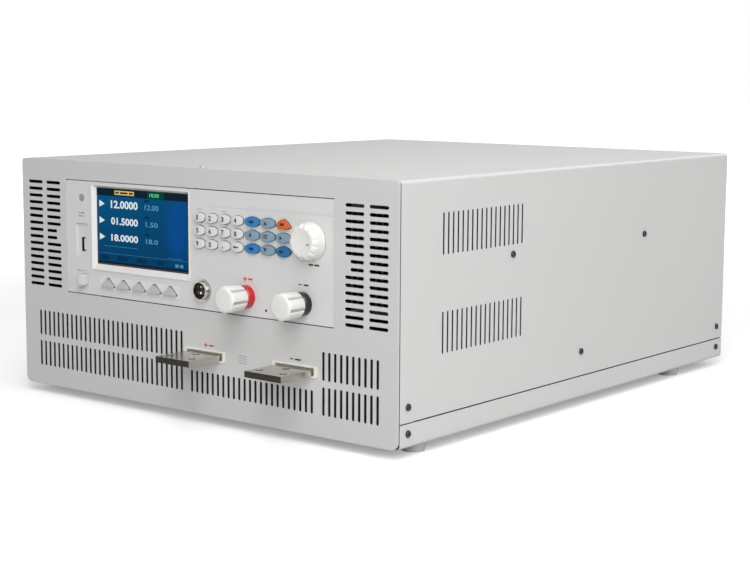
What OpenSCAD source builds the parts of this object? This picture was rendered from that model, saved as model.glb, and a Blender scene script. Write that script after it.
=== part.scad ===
// Bench DC electronic load: a folded steel case with a moulded control panel, two bus bars
// and two binding posts at the front, and a pair of fan-cooled heat sink tunnels inside.
// The case frame has x to the right, y from the front panel's face to the back, and z from
// the lower edge of the sheet metal. The part's own origin is under the middle of everything.

/* [Case] */
// Width of the case
case_w = 430; // [426:1:446]
// Height of the case without its feet
case_h = 204; // [202:1:216]
// Depth of the case behind the front panel's face
case_d = 530; // [515:1:600]
// Thickness of the cover, the tray and the rear panel
sheet = 1.5; // [1:0.1:2]
// Outer bend radius of the folded sheet
bend_r = 3; // [2.5:0.5:5]
// Height of the tray's folded sides
tray_side_h = 19; // [17:1:24]
// Open seam between the tray's sides and the cover
seam = 1; // [0.6:0.1:1.5]
// Depth of the flanges folded back from the front and rear panels
flange_d = 21; // [19:1:26]
// Height of the rubber feet
foot_h = 8; // [6:1:14]
// Radius of the rubber feet
foot_r = 11; // [9:1:13]

/* [Front panel] */
// Thickness of the front panel's face
panel_t = 2.5; // [2:0.1:3]
// Shadow gap between the front panel and the cover
panel_gap = 1; // [0.6:0.1:1.6]
// Corner radius of the face at the bottom
low_corner_r = 6; // [4:0.5:8]
// Corner radius of the face at the top
top_corner_r = 3; // [2:0.5:5]
// Pitch of the upright grille slots
slot_pitch = 6; // [5.8:0.1:6.1]
// Width of a grille slot
slot_w = 2.5; // [2:0.1:3]
// Length of a slot in the two-row grilles
slot_len = 22.7; // [18:0.1:24]
// Length of a slot in the single-row grille under the bus bars
short_slot_len = 18.6; // [14:0.1:22]
// Length of a vent slot beside the control panel
vent_len = 18.4; // [15:0.1:19]
// Pitch of the vent rows
vent_pitch = 6.13; // [5.6:0.01:6.2]

/* [Control panel] */
// Width of the moulded control panel
bezel_w = 309; // [306:1:312]
// Height of the moulded control panel
bezel_h = 99; // [97:1:101]
// Visible width of the display
screen_w = 110; // [104:1:112]
// Visible height of the display
screen_h = 65; // [60:1:66]
// Width of a white keypad key
key_w = 13; // [11.5:0.1:13.4]
// Width of a coloured keypad key
tint_key_w = 15.4; // [14:0.1:15.8]
// Height of a keypad key
key_h = 7.8; // [7:0.1:8.2]
// How far the keys stand out of the control panel
key_proud = 2.3; // [1.5:0.1:3]
// Travel of every key
key_travel = 0.8; // [0.5:0.1:1]
// Radius of the adjusting knob at its foot
knob_r = 15.2; // [14:0.1:17]
// How far the knob stands out
knob_proud = 11.5; // [10:0.5:16]
// Travel of the power button
power_travel = 3; // [2:0.1:3.2]

/* [Terminals] */
// Width of a bus bar
bar_w = 38; // [34:1:40]
// Thickness of a bus bar
bar_t = 5; // [4:0.5:5.5]
// How far the bus bars reach out of the front panel
bar_reach = 38; // [30:1:44]
// Radius of the holes in the bus bars
bar_hole_r = 3.25; // [2.6:0.05:3.5]
// Radius of a binding post's insulating collar
collar_r = 9.5; // [9:0.5:11]
// Radius of a binding post's cap
cap_r = 11; // [10.5:0.5:12]
// Length of a binding post's cap
cap_len = 19; // [17:0.5:22]

/* [Rear] */
// Side of the square cooling fans
fan_side = 120; // [112:1:120]
// Depth of the fan frames
fan_d = 25; // [22:1:32]
// How far the earth stud stands out of the rear panel
rear_reach = 8; // [7:0.5:12]

/* [Hidden] */
$fn = 48;

// Clearances, overruns and colours
cut = 1;                       // overrun of a cutting tool past each face
slide_gap = 0.3;               // clearance round a moulded key or button
run_gap = 0.05;                // radial clearance of a turning shaft
thread_gap = 0.08;             // radial clearance of a threaded piece on its stud
shell_grey = [0.80, 0.80, 0.79];
panel_grey = [0.77, 0.77, 0.76];
bezel_grey = [0.80, 0.80, 0.80];
warm_white = [0.90, 0.89, 0.87];
nickel = [0.72, 0.70, 0.64];
board_green = [0.10, 0.32, 0.18];
dark = [0.10, 0.10, 0.11];

// Frame of the whole part: its lowest, front and rear limits are the feet, bars and earth stud
front_y = -(bar_reach + case_d + rear_reach) / 2 + bar_reach;
half_w = case_w / 2;
inner_half = half_w - sheet;
shell_y = panel_t + panel_gap;                 // front edges of the cover and the tray
rear_y = case_d - sheet;                       // inner face of the rear panel

// Grilles
grille_inset = 21.3;                           // first slot's centre from the case's side
low_row_z = 28.65;                             // centre of the lower row of slots
row_step = 27.8;                               // from the lower row to the upper one
single_row_z = 26.8;                           // centre of the row under the bus bars
left_columns = 31;
middle_columns = 23;
right_columns = 10;
missing_columns = 1;                           // one column is left out before each new block
vent_inset = 8.9;                              // outer ends of the vent slots from the case's side
vent_gap = 5.3;                                // between the two columns of vent slots
vent_cut = 2.7;                                // width of a vent slot
vent_rows = 16;
vent_short = 13.2;                             // the two clipped slots of the inner column
vent_clipped = [7, 8];
vent_z = 91.6;                                 // lowest row

// Side slots of the cover
side_slot_w = 2;
side_slot_len = 33;
side_slot_pitch = 6.38;
side_slot_count = 18;
side_slot_y = 56.85;
side_slot_zs = [83.65, 160.65];

// Control panel
bezel_x = -1.5;
bezel_z = 137.5;
bezel_gap = 0.7;                               // dark gap above and below the control panel
bezel_side_gap = 0.1;                          // gap at its sides
bezel_inset = 0.5;                             // how far its face lies behind the front panel's
bezel_lip = 6;                                 // flange behind the front panel
bezel_lip_t = 2.5;
bezel_back = panel_t + bezel_lip_t;            // rear face of the control panel
bezel_bottom = bezel_z - bezel_h / 2;
boss_r = 3;
boss_inset = 6;                                // screw bosses from the board's right-hand edges
boss_spots = [[-0.6, 178.5], [-0.6, 121], [-120, 106], [-12, 106]];   // the others' x and z

// Display
screen_x = -63.3;
screen_z = 149.3;
screen_depth = 3;                              // the glass lies this far behind the panel's face
frame_side = 5;                                // slope of the frame at the sides
frame_top = 3;
frame_low = 6.5;
frame_proud = 0.8;
frame_seat = 1;                                // how far the frame's front overlaps the panel
frame_w = screen_w + 2 * frame_side;
frame_h = screen_h + frame_top + frame_low;
frame_z = screen_z + (frame_top - frame_low) / 2;
frame_lip = 0.6;                               // flat rim round the slope
module_gap = 0.3;

// Keyboard
board_y = 10;
board_t = 1.6;
board_z0 = 115;                                // lower edge of the upper part of the board
board_margin = 3.5;                            // from the board to the control panel's edges
board_left = -126;
board_step_x = -8;                             // the lower part ends short of the connectors
switch_side = 6;
switch_t = 1.4;
switch_plunger_r = 1.5;
plunger_gap = 0.2;
stem_back = bezel_back + slide_gap;            // keys are held by flanges behind the panel
stem_t = 1.2;
stem_over = 1.2;                               // flange past the aperture above and below

// Keypad
key_x0 = 9;
key_pitch = 14.25;
tint_x0 = 68;
tint_pitch = 16.65;
key_z0 = 164.4;                                // top row
key_row = 10.75;
key_crown_r = 26;
point_share = 1.08;                            // lens of the pointed key against an oval
point_shift_share = 0.06;
point_cut_share = 0.55;
pick_side_share = 0.85;                        // side arcs' radius of the triangular key
pick_top_share = 0.54;
pick_corner_share = 0.22;
pick_base_share = 1.1;
white_names = [["key_1", "key_2", "key_3", "key_4"], ["key_5", "key_6", "key_7", "key_8"],
    ["key_9", "key_0", "key_point", "key_back"]];
tint_names = [["key_mode", "key_up", "key_load"], ["key_left", "key_menu", "key_right"],
    ["key_save", "key_down", "key_enter"]];
deep_blue = [0.12, 0.42, 0.78];
pale_blue = [0.58, 0.70, 0.80];
orange = [0.88, 0.36, 0.12];
tint_colours = [[deep_blue, pale_blue, orange], [pale_blue, pale_blue, pale_blue],
    [deep_blue, pale_blue, deep_blue]];

// Soft keys under the display
soft_count = 5;
soft_x0 = -103;
soft_pitch = 19.1;
soft_z0 = 96.3;
soft_w = 16.8;
soft_h = 7.3;
soft_clip = 1.2;                               // clipped corners of the triangle
soft_proud = 2.1;
soft_rise = 0.4;                               // the apex stands out this little

// Power button
power_x = -133.6;
power_z = 100.5;
power_w = 6.5;
power_h = 9.6;
power_proud = 7.5;
power_corner = 1.2;
power_crown_r = 15;
power_rod_r = 1.5;
power_body = [12, 12, 12];                     // latching switch behind the board
power_pocket = [17, 16];                       // shallow recess round the button
power_pocket_x = -137.2;
power_pocket_t = 0.6;

// USB port
usb_x = -136.6;
usb_z = 131.3;
usb_w = 5.8;
usb_h = 13.2;
usb_wall = 0.4;
usb_len = 14;
usb_tongue = 1.8;
usb_tongue_gap = 0.4;                          // from the tongue to the shell's right-hand side
usb_pocket = [15, 29];
usb_pocket_z = 135.4;
usb_pocket_t = 2;
spot_x = -136.1;
spot_z = 172.3;
spot_r = 3;
spot_t = 0.8;

// Adjusting knob and its encoder
knob_x = 129.3;
knob_z = 153.3;
knob_gap = 0.5;
knob_dish = 0.8;
knob_wall = 2.2;
knob_face_share = 0.68;                        // radius of the front face against the foot's
knob_edge_share = 0.95;                        // radius where the wall turns over to the face
knob_wall_share = 0.5;                         // height of the wall against the knob's
knob_flutes = 14;
knob_flute_r = 1.8;
knob_flute_out = 2.2;                          // flute's axis outside the face's edge
knob_flute_in = 0.7;                           // and in front of the face
shaft_r = 3;
bush_r = 4.6;
bush_proud = 5;
encoder_side = 14;

// Sense connector
sense_x = 11.5;
sense_z = 104;
sense_r = 8;
sense_wall = 1.1;
sense_proud = 4.5;
sense_flange_r = 9.5;
sense_flange_t = 2;
sense_back = 16;
sense_pins = 4;
sense_pin_r = 0.75;
sense_pin_ring = 3.5;
sense_pin_tip = 4.6;                           // pins end this far inside the rim
sense_floor = 5;                               // socket's floor behind the panel's face

// Binding posts
post_xs = [60.5, 120.7];
post_z = 103.5;
collar_t = 7;
neck_r = 6;
stud_r = 4;
stud_tip = 1.5;                                // stud's end inside the cap's bore
washer_r = 8.8;
washer_t = 1.2;
washer_gap = 0.2;
cap_front = 1.8;                               // smooth rim in front of the flutes
cap_edge_r = 2.2;
cap_dome = 0.6;                                // rise of the front face
cap_rear_share = 0.94;                         // radius at the rear against the front's
cap_flutes = 6;
cap_flute_r = 2.2;
cap_flute_t = 1.6;
cap_turn = 15;                                 // first flute, below the +x direction
cap_end_wall = 2;
nut_r = 7.5;
nut_t = 5;
stud_back = 14;
cap_y0 = bezel_inset - collar_t - washer_gap - washer_t - washer_gap;

// Bus bars
bar_xs = [14, 113];
bar_z = 50;
bar_back = 218;                                // rear ends of the bars, under the load board
bar_hole_dx = 12.5;                            // the two front holes from the bar's middle
bar_hole_ys = [28, 11];                        // front pair and single hole from the panel
guide_rim = [46, 9.2];
guide_neck = [43.6, 8];
guide_mouth = [41.2, 6.6];
guide_z = 50.8;
guide_proud = 1.4;
guide_block = [52, 22, 20];
joint_hole_r = 3.25;
joint_dx = 10;
joint_inset = 11;                              // joint bolts from the bar's rear end

// Heat sinks, boards and fans
tunnel_x = 66;
sink_w = 116;
sink_h = 54;
sink_base = 7;
sink_y0 = 196;
sink_rear_in = 72;                             // heat sinks' rear ends from the case's rear edge
sink_len = case_d - sink_y0 - sink_rear_in;
fin_t = 1.8;
fin_count = 17;
fin_gap = 0.4;                                 // between the fins of an upper and a lower heat sink
chip = [16, 21, 5];                            // transistor: across, along, thick
chip_rows = 6;
chip_columns = 5;
load_board_over = 4;                           // board past the heat sinks at each side
load_board_t = 1.6;
load_board_ear = 8;                            // the upper board is wider, to reach its posts
tall_post_r = 3;
load_z = bar_z + bar_t / 2;                    // the lower board lies on the bars
sink_z = load_z + load_board_t + chip[2];      // underside of the lower heat sinks
load_half_w = tunnel_x + sink_w / 2 + load_board_over;
upper_load_z = sink_z + 2 * sink_h + chip[2];  // underside of the upper board
post_foot_r = 4;
post_inset = 8;
fan_z = sink_z + sink_h;
fan_wall = 2;
fan_bore_r = fan_side / 2 - fan_wall;
fan_hole_pitch_share = 0.875;                  // screw pitch of a fan against its side
fan_hole_r = 2.2;
hub_r = 20;
hub_wall = 1.6;
stator_r = 18;
stator_t = 3;
rotor_gap = 1;                                 // rotor from the frame's faces and bore
strut_w = 3;
blades = 7;
blade_t = 1.6;
blade_twist = 38;
fan_shaft_r = 2;

// Rear panel
grille_rings = 8;
grille_ring_cut = 4.2;
grille_ring_first = 12;
grille_spoke_w = 4;
inlet_x = 172;
inlet_z = 45;
inlet_w = 27;
inlet_h = 19.6;
inlet_flange = [50, 23, 3];
inlet_screw_dx = 20;
inlet_socket = [24.2, 16, 16.5];
inlet_chamfer = 4.5;
inlet_pin = [2, 4, 11.5];
inlet_pin_dx = 7;
inlet_pin_dz = 2;
inlet_body = 24;
serial_x = -172;
serial_z = 45;
serial_shell = [17, 8.4, 6];
serial_flange = [31, 12.5, 1];
serial_screw_dx = 12.5;
serial_block = [19, 10.5, 8];
serial_nut_r = 2.9;
earth_x = 172;
earth_z = 22;
earth_r = 2;

// Auxiliary supply behind the inlet
aux_x = 172;
aux_rear_in = 230;                             // its front edge from the case's rear edge
aux_y0 = case_d - aux_rear_in;
aux_size = [64, 170, 1.6];
aux_z = 12;
aux_post_r = 3;
aux_post_inset = 5;
coil_size = [44, 40, 36];
can_r = 9;
can_h = 30;
cooler_size = [3, 60, 32];

// Uprights of the tray, behind the cover's side screws
side_tabs = [[152.3, 136.5], [367.5, 136.5], [261.3, 41.4]];   // screw's y and z
tab_w = 20;
tab_over = 9;                                  // tab above its screw
tab_foot = 16;

// Screws
screw_r = 1.5;
screw_hole_r = 1.6;
screw_head_r = 2.9;
screw_head_h = 1.8;
screw_len = 7;
front_screw_y = 13.5;
rear_screw_in = 12;                            // rear side screws from the case's rear edge
low_screw_share = 0.6;                         // lower side screws up the tray's side
high_screw_up = 12;                            // upper side screws above the seam
high_screw_z = tray_side_h + seam + high_screw_up;
low_screw_z = tray_side_h * low_screw_share;

// Feet
foot_x = 200;
foot_front = 40;
foot_rear_in = 82;
foot_taper = 2;
foot_hollow_r = 5;
foot_hollow_t = 5;

// Outlines
function arc(cx, cz, r, a0, n = 6) = [for (i = [0:n]) [cx + r * cos(a0 + 90 * i / n), cz + r * sin(a0 + 90 * i / n)]];

module round_rect(w, h, r, low = 0) {
    lr = low > 0 ? low : r;
    polygon(concat(arc(w / 2 - r, h / 2 - r, r, 0), arc(-w / 2 + r, h / 2 - r, r, 90),
        arc(-w / 2 + lr, -h / 2 + lr, lr, 180), arc(w / 2 - lr, -h / 2 + lr, lr, 270)));
}

module slot(len, wide) {
    square([wide, len - wide], center = true);
    for (s = [-1, 1]) translate([0, s * (len - wide) / 2]) circle(d = wide, $fn = 24);
}

// Oval of a keypad key: two shallow arcs above and below, two tighter ones at the ends
module oval(w, h, end_share = 0.42) {
    end_h = h * end_share;
    rise = (h - end_h) / 2;
    big_r = (w * w / 4 + rise * rise) / (2 * rise);
    intersection() {
        translate([0, h / 2 - big_r]) circle(r = big_r, $fn = 96);
        translate([0, big_r - h / 2]) circle(r = big_r, $fn = 96);
        circle(d = w, $fn = 96);
    }
}

// Lens between two arcs, with a point at each end
module lens(w, h) {
    r = (w * w + h * h) / (4 * h);
    intersection() {
        translate([0, h / 2 - r]) circle(r = r, $fn = 96);
        translate([0, r - h / 2]) circle(r = r, $fn = 96);
    }
}

// Key shaped as a lens whose left end is cut round, so that it points right
module pointed_oval(w, h) intersection() {
    lens(w * point_share, h * point_share);
    translate([w * point_shift_share, 0]) circle(r = w * point_cut_share, $fn = 96);
}

// Key shaped as a low triangle with bulging sides, its apex at the top
module pick_oval(w, h) {
    side_r = w * pick_side_share;
    apex = [0, h * pick_top_share];
    corner = [w / 2, -h * pick_corner_share];
    half = (corner - apex) / 2;
    reach = sqrt(side_r * side_r - half * half);
    normal = [-half[1], half[0]] / norm(half);
    centre = apex + half - [abs(normal[0]), abs(normal[1])] * reach;
    base_r = w * pick_base_share;
    intersection() {
        translate(centre) circle(r = side_r, $fn = 96);
        translate([-centre[0], centre[1]]) circle(r = side_r, $fn = 96);
        translate([0, base_r - h / 2]) circle(r = base_r, $fn = 96);
    }
}

// Outline of a coloured key by its name, grown by a clearance
module tint_outline(row, i, grow) {
    w = tint_key_w + 2 * grow;
    h = key_h + 2 * grow;
    if (tint_names[row][i] == "key_load") pick_oval(w, h);
    else if (tint_names[row][i] == "key_enter") pointed_oval(w, h);
    else oval(w, h);
}

// Triangle of a soft key with clipped corners, its base on the lower edge
module clipped_triangle(w, h, clip) {
    slope = w / 2 / h;
    polygon([[-w / 2 + clip, 0], [w / 2 - clip, 0], [w / 2 - clip * slope / 2, clip], [clip, h],
        [-clip, h], [-w / 2 + clip * slope / 2, clip]]);
}

// Placing
module in_place() translate([0, front_y, foot_h]) children();

// Stands a drawing up in the x-z plane and gives it thickness from y0 backwards
module upright(y0, t) translate([0, y0 + t, 0]) rotate([90, 0, 0]) linear_extrude(t) children();

// A round bar or hole along y
module along_y(x, z, r, y0, y1) translate([x, y1, z]) rotate([90, 0, 0]) cylinder(h = y1 - y0, r = r);

// A profile [radius, distance] turned about an axis along y; distance counts towards the front
module turned(x, y, z) translate([x, y, z]) rotate([90, 0, 0]) rotate_extrude() children();

module both_sides() for (s = [0, 1]) mirror([s, 0, 0]) children();

// Case
module chassis_tray() color(shell_grey) in_place() {
    difference() {
        union() {
            upright(shell_y, case_d - shell_y) difference() {
                translate([0, case_h / 2]) round_rect(case_w, case_h, bend_r);
                translate([0, case_h / 2]) round_rect(case_w - 2 * sheet, case_h - 2 * sheet, bend_r - sheet);
                translate([-case_w, tray_side_h]) square([2 * case_w, case_h]);
            }
            both_sides() for (t = side_tabs) side_tab(t[0], t[1] + tab_over);
            for (x = [-1, 1], y = [bar_back + 2 * post_inset, sink_y0 + sink_len / 2, sink_y0 + sink_len - post_inset])
                translate([x * (load_half_w - post_inset / 2), y, sheet])
                    cylinder(h = load_z - sheet, r = post_foot_r);
            for (x = [-1, 1], y = [bar_back + 2 * post_inset, sink_y0 + sink_len / 2, sink_y0 + sink_len - post_inset])
                translate([x * (load_half_w + load_board_ear / 2), y, sheet])
                    cylinder(h = upper_load_z - sheet, r = tall_post_r);
            for (x = [-1, 1], y = [aux_post_inset, aux_size[1] - aux_post_inset])
                translate([aux_x + x * (aux_size[0] / 2 - aux_post_inset), aux_y0 + y, sheet])
                    cylinder(h = aux_z - sheet, r = aux_post_r);
        }
        side_screw_holes();
        for (x = [-foot_x, foot_x], y = [foot_front, case_d - foot_rear_in])
            translate([x, y, -cut]) cylinder(h = sheet + 2 * cut, r = screw_hole_r);
    }
}

module side_tab(y, top) {
    translate([inner_half - sheet, y - tab_w / 2, sheet]) cube([sheet, tab_w, top - sheet]);
    translate([inner_half - tab_foot, y - tab_w / 2, sheet]) cube([tab_foot, tab_w, sheet]);
}

module side_screw_holes() {
    for (y = [front_screw_y, case_d - rear_screw_in], z = [low_screw_z, high_screw_z])
        side_screw_hole(y, z);
    for (t = side_tabs) side_screw_hole(t[0], t[1]);
}

module side_screw_hole(y, z) both_sides()
    translate([inner_half - sheet - cut, y, z]) rotate([0, 90, 0])
        cylinder(h = 2 * sheet + 2 * cut, r = screw_hole_r);

module top_cover() color(shell_grey) in_place() difference() {
    upright(shell_y, case_d - shell_y) difference() {
        translate([0, case_h / 2]) round_rect(case_w, case_h, bend_r);
        translate([0, case_h / 2]) round_rect(case_w - 2 * sheet, case_h - 2 * sheet, bend_r - sheet);
        translate([-case_w, -cut]) square([2 * case_w, tray_side_h + seam + cut]);
    }
    for (z = side_slot_zs, i = [0:side_slot_count - 1])
        translate([-case_w, side_slot_y + i * side_slot_pitch, z]) rotate([90, 0, 90])
            linear_extrude(2 * case_w) slot(side_slot_len, side_slot_w);
    side_screw_holes();
    translate([0, front_screw_y, case_h - sheet - cut]) cylinder(h = sheet + 2 * cut, r = screw_hole_r);
}

// Ring folded back from a panel, which the cover and the tray are screwed to
module flange_ring(y0) upright(y0, flange_d) difference() {
    translate([0, case_h / 2]) round_rect(2 * inner_half, case_h - 2 * sheet, bend_r);
    translate([0, case_h / 2]) round_rect(2 * inner_half - 2 * sheet, case_h - 4 * sheet, bend_r - sheet / 2);
}

module front_panel() color(panel_grey) in_place() difference() {
    union() {
        upright(0, panel_t) difference() {
            translate([0, case_h / 2]) round_rect(case_w, case_h, top_corner_r, low_corner_r);
            grilles();
            both_sides() vents();
            translate([bezel_x, bezel_z]) square([bezel_w, bezel_h] + 2 * [bezel_side_gap, bezel_gap], center = true);
            for (x = bar_xs) translate([x, guide_z]) square(guide_neck, center = true);
        }
        flange_ring(panel_t);
    }
    side_screw_holes();
    translate([0, front_screw_y, case_h - 2 * sheet - cut]) cylinder(h = 2 * sheet + 2 * cut, r = screw_hole_r);
}

module grilles() {
    middle_first = left_columns + missing_columns;
    right_first = middle_first + middle_columns + missing_columns;
    for (row = [0, 1]) {
        for (i = [0:left_columns - 1]) grille_slot(i, low_row_z + row * row_step, slot_len);
        for (i = [0:right_columns - 1]) grille_slot(right_first + i, low_row_z + row * row_step, slot_len);
    }
    for (i = [0:middle_columns - 1]) grille_slot(middle_first + i, single_row_z, short_slot_len);
}

module grille_slot(column, z, len)
    translate([-half_w + grille_inset + column * slot_pitch, z]) slot(len, slot_w);

module vents() for (row = [0:vent_rows - 1]) {
    clipped = row == vent_clipped[0] || row == vent_clipped[1];
    inner_len = clipped ? vent_short : vent_len;
    translate([half_w - vent_inset - vent_len / 2, vent_z + row * vent_pitch]) rotate(90) slot(vent_len, vent_cut);
    translate([half_w - vent_inset - vent_len - vent_gap - inner_len / 2, vent_z + row * vent_pitch])
        rotate(90) slot(inner_len, vent_cut);
}

module rear_panel() color(shell_grey) in_place() difference() {
    union() {
        upright(rear_y, sheet) difference() {
            translate([0, case_h / 2]) round_rect(2 * inner_half, case_h - 2 * sheet, bend_r);
            for (x = [-tunnel_x, tunnel_x]) translate([x, fan_z]) fan_openings();
            translate([inlet_x, inlet_z]) square([inlet_w, inlet_h], center = true);
            for (s = [-1, 1]) translate([inlet_x + s * inlet_screw_dx, inlet_z]) circle(r = screw_hole_r);
            translate([serial_x, serial_z]) square([serial_block[0], serial_block[1]], center = true);
            for (s = [-1, 1]) translate([serial_x + s * serial_screw_dx, serial_z]) circle(r = screw_hole_r);
            translate([earth_x, earth_z]) circle(r = earth_r);
        }
        flange_ring(rear_y - flange_d);
    }
    side_screw_holes();
}

// Finger guard punched in the rear panel: rings of slots between four spokes
module fan_openings() {
    difference() {
        for (i = [0:grille_rings - 1]) ring_slot(grille_ring_first + i * ring_step(), grille_ring_cut);
        for (a = [45, 135]) rotate(a) square([2 * fan_side, grille_spoke_w], center = true);
    }
    for (x = [-1, 1], z = [-1, 1]) translate([x, z] * fan_hole_pitch_share * fan_side / 2) circle(r = fan_hole_r);
}

module ring_slot(r, wide) difference() {
    circle(r = r + wide / 2, $fn = 96);
    circle(r = r - wide / 2, $fn = 96);
}

function ring_step() = (fan_bore_r - grille_ring_cut / 2 - grille_ring_first) / (grille_rings - 1);

// Control panel
module control_bezel() color(bezel_grey) in_place() difference() {
    union() {
        upright(bezel_inset, panel_t - bezel_inset)
            translate([bezel_x, bezel_z]) square([bezel_w, bezel_h], center = true);
        upright(panel_t, bezel_lip_t)
            translate([bezel_x, bezel_z]) square([bezel_w, bezel_h] + 2 * [bezel_lip, bezel_lip], center = true);
        for (p = boss_places()) along_y(p[0], p[1], boss_r, bezel_back, board_y);
    }
    upright(-cut, bezel_back + 2 * cut) {
        translate([screen_x, frame_z]) square([frame_w, frame_h] - 2 * [frame_seat, frame_seat], center = true);
        for (row = [0:2], i = [0:3]) translate(white_place(row, i)) oval(key_w + 2 * slide_gap, key_h + 2 * slide_gap);
        for (row = [0:2], i = [0:2]) translate(tint_place(row, i)) tint_outline(row, i, slide_gap);
        for (i = [0:soft_count - 1]) translate([soft_x0 + i * soft_pitch, soft_z0 - slide_gap])
            clipped_triangle(soft_w + 4 * slide_gap, soft_h + 3 * slide_gap, soft_clip);
        translate([power_x, power_z]) round_rect(power_w + 2 * slide_gap, power_h + 2 * slide_gap, power_corner + slide_gap);
        translate([usb_x, usb_z]) square([usb_w, usb_h], center = true);
    }
    upright(-cut, cut + bezel_inset + usb_pocket_t)
        translate([usb_x, usb_pocket_z]) round_rect(usb_pocket[0], usb_pocket[1], power_corner);
    upright(-cut, cut + bezel_inset + power_pocket_t)
        translate([power_pocket_x, power_z]) round_rect(power_pocket[0], power_pocket[1], power_corner);
    along_y(spot_x, spot_z, spot_r, -cut, bezel_inset + spot_t);
    along_y(knob_x, knob_z, bush_r, -cut, bezel_back + cut);
    along_y(sense_x, sense_z, sense_r, -cut, bezel_back + cut);
    for (x = post_xs) along_y(x, post_z, neck_r, -cut, bezel_back + cut);
}

function white_place(row, i) = [key_x0 + i * key_pitch, key_z0 - row * key_row];
function tint_place(row, i) = [tint_x0 + i * tint_pitch, key_z0 - row * key_row];
function board_right() = bezel_x + bezel_w / 2 - board_margin;
function board_top() = bezel_z + bezel_h / 2 - board_margin;
function boss_places() = concat(boss_spots,
    [for (z = [board_top() - boss_inset, board_z0 + boss_inset]) [board_right() - boss_inset, z]]);

module display_frame() color(warm_white) in_place() difference() {
    union() {
        upright(bezel_inset - frame_proud, frame_proud) translate([screen_x, frame_z])
            round_rect(frame_w, frame_h, frame_proud);
        upright(bezel_inset, screen_depth - bezel_inset) translate([screen_x, frame_z])
            square([frame_w, frame_h] - 2 * [frame_seat, frame_seat], center = true);
    }
    hull() {
        upright(screen_depth, cut) translate([screen_x, screen_z]) square([screen_w, screen_h], center = true);
        upright(bezel_inset - frame_proud - cut / 10, cut / 10) translate([screen_x, frame_z])
            square([frame_w - 2 * frame_lip, frame_h - 2 * frame_lip], center = true);
    }
}

module display_module() color(dark) in_place() {
    w = frame_w - 2 * frame_seat - 2 * module_gap;
    h = frame_h - 2 * frame_seat - 2 * module_gap;
    upright(screen_depth, board_y - screen_depth) translate([screen_x, frame_z]) square([w, h], center = true);
}

// Board behind the control panel, with a switch behind every key
module key_board() color(board_green) in_place() {
    upright(board_y, board_t) {
        translate([board_left, board_z0]) square([board_right() - board_left, board_top() - board_z0]);
        translate([board_left, bezel_bottom + board_margin])
            square([board_step_x - board_left, board_z0 - bezel_bottom]);
    }
    for (row = [0:2], i = [0:3]) key_switch(white_place(row, i));
    for (row = [0:2], i = [0:2]) key_switch(tint_place(row, i));
    for (i = [0:soft_count - 1]) key_switch([soft_x0 + i * soft_pitch, soft_z0 + soft_h / 2]);
    power_switch();
}

module key_switch(p) {
    upright(board_y - switch_t, switch_t) translate(p) square(switch_side, center = true);
    along_y(p[0], p[1], switch_plunger_r, stem_back + stem_t + key_travel + plunger_gap, board_y - switch_t);
}

// Latching switch on its own bracket, driven by the power button's rod
module power_switch() difference() {
    union() {
        translate([power_x - power_body[0] / 2, board_y, power_z - power_body[2] / 2]) cube(power_body);
        upright(board_y, board_t) translate([power_x, power_z - power_body[2] / 2])
            square([board_left - power_x, power_body[2]]);
    }
    along_y(power_x, power_z, power_rod_r + thread_gap, board_y - cut, board_y + power_body[1] - board_t);
}

module power_button() color(warm_white) in_place() {
    intersection() {
        upright(-power_proud, power_proud + stem_back) translate([power_x, power_z])
            round_rect(power_w, power_h, power_corner);
        translate([power_x, power_crown_r - power_proud, power_z]) sphere(r = power_crown_r, $fn = 96);
    }
    upright(stem_back, stem_t) translate([power_x, power_z]) square([power_w, power_h + 2 * stem_over], center = true);
    along_y(power_x, power_z, power_rod_r, stem_back, board_y + power_body[1] - board_t - power_travel - slide_gap);
}

module usb_port() color("silver") in_place() {
    y0 = bezel_inset + usb_pocket_t;
    upright(y0, usb_len) translate([usb_x, usb_z]) difference() {
        square([usb_w, usb_h], center = true);
        square([usb_w, usb_h] - 2 * [usb_wall, usb_wall], center = true);
    }
    upright(y0 + usb_len - usb_tongue, usb_tongue) translate([usb_x, usb_z]) square([usb_w, usb_h], center = true);
    upright(y0 + usb_wall, usb_len - usb_wall)
        translate([usb_x + usb_w / 2 - usb_wall - usb_tongue_gap - usb_tongue / 2, usb_z])
            square([usb_tongue, usb_h - 2 * usb_tongue], center = true);
}

// Knob, with the shaft that turns in the encoder's bush
module adjust_knob() color(warm_white) in_place() {
    y0 = bezel_inset - knob_gap;
    face_r = knob_r * knob_face_share;
    edge_r = knob_r * knob_edge_share;
    wall_h = knob_proud * knob_wall_share;
    difference() {
        turned(knob_x, y0, knob_z) polygon(concat(
            [[0, knob_wall + bush_proud + knob_gap], [bush_r + knob_wall, knob_wall + bush_proud + knob_gap],
             [bush_r + knob_wall, 0], [knob_r, 0]],
            [for (a = [0:18:90]) [face_r + (edge_r - face_r) * cos(a), wall_h + (knob_proud - wall_h) * sin(a)]],
            [[face_r - knob_wall, knob_proud - knob_dish / 2], [0, knob_proud - knob_dish]]));
        for (i = [0:knob_flutes - 1]) translate([knob_x, y0 - knob_proud, knob_z]) rotate([0, i * 360 / knob_flutes, 0])
            translate([face_r + knob_flute_out, -knob_flute_in, 0]) rotate([0, 0, 45])
                rotate([90, 0, 0]) cylinder(h = 4 * knob_flute_r, r = knob_flute_r, center = true);
    }
    along_y(knob_x, knob_z, shaft_r, y0 - bush_proud - knob_gap - 2 * knob_wall, board_y - 2 * knob_gap);
}

module encoder() color("silver") in_place() difference() {
    union() {
        upright(bezel_back, board_y - bezel_back) translate([knob_x, knob_z]) square(encoder_side, center = true);
        along_y(knob_x, knob_z, bush_r, bezel_inset - bush_proud, bezel_back);
    }
    along_y(knob_x, knob_z, shaft_r + run_gap, -bush_proud - cut, board_y - knob_gap);
}

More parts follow.
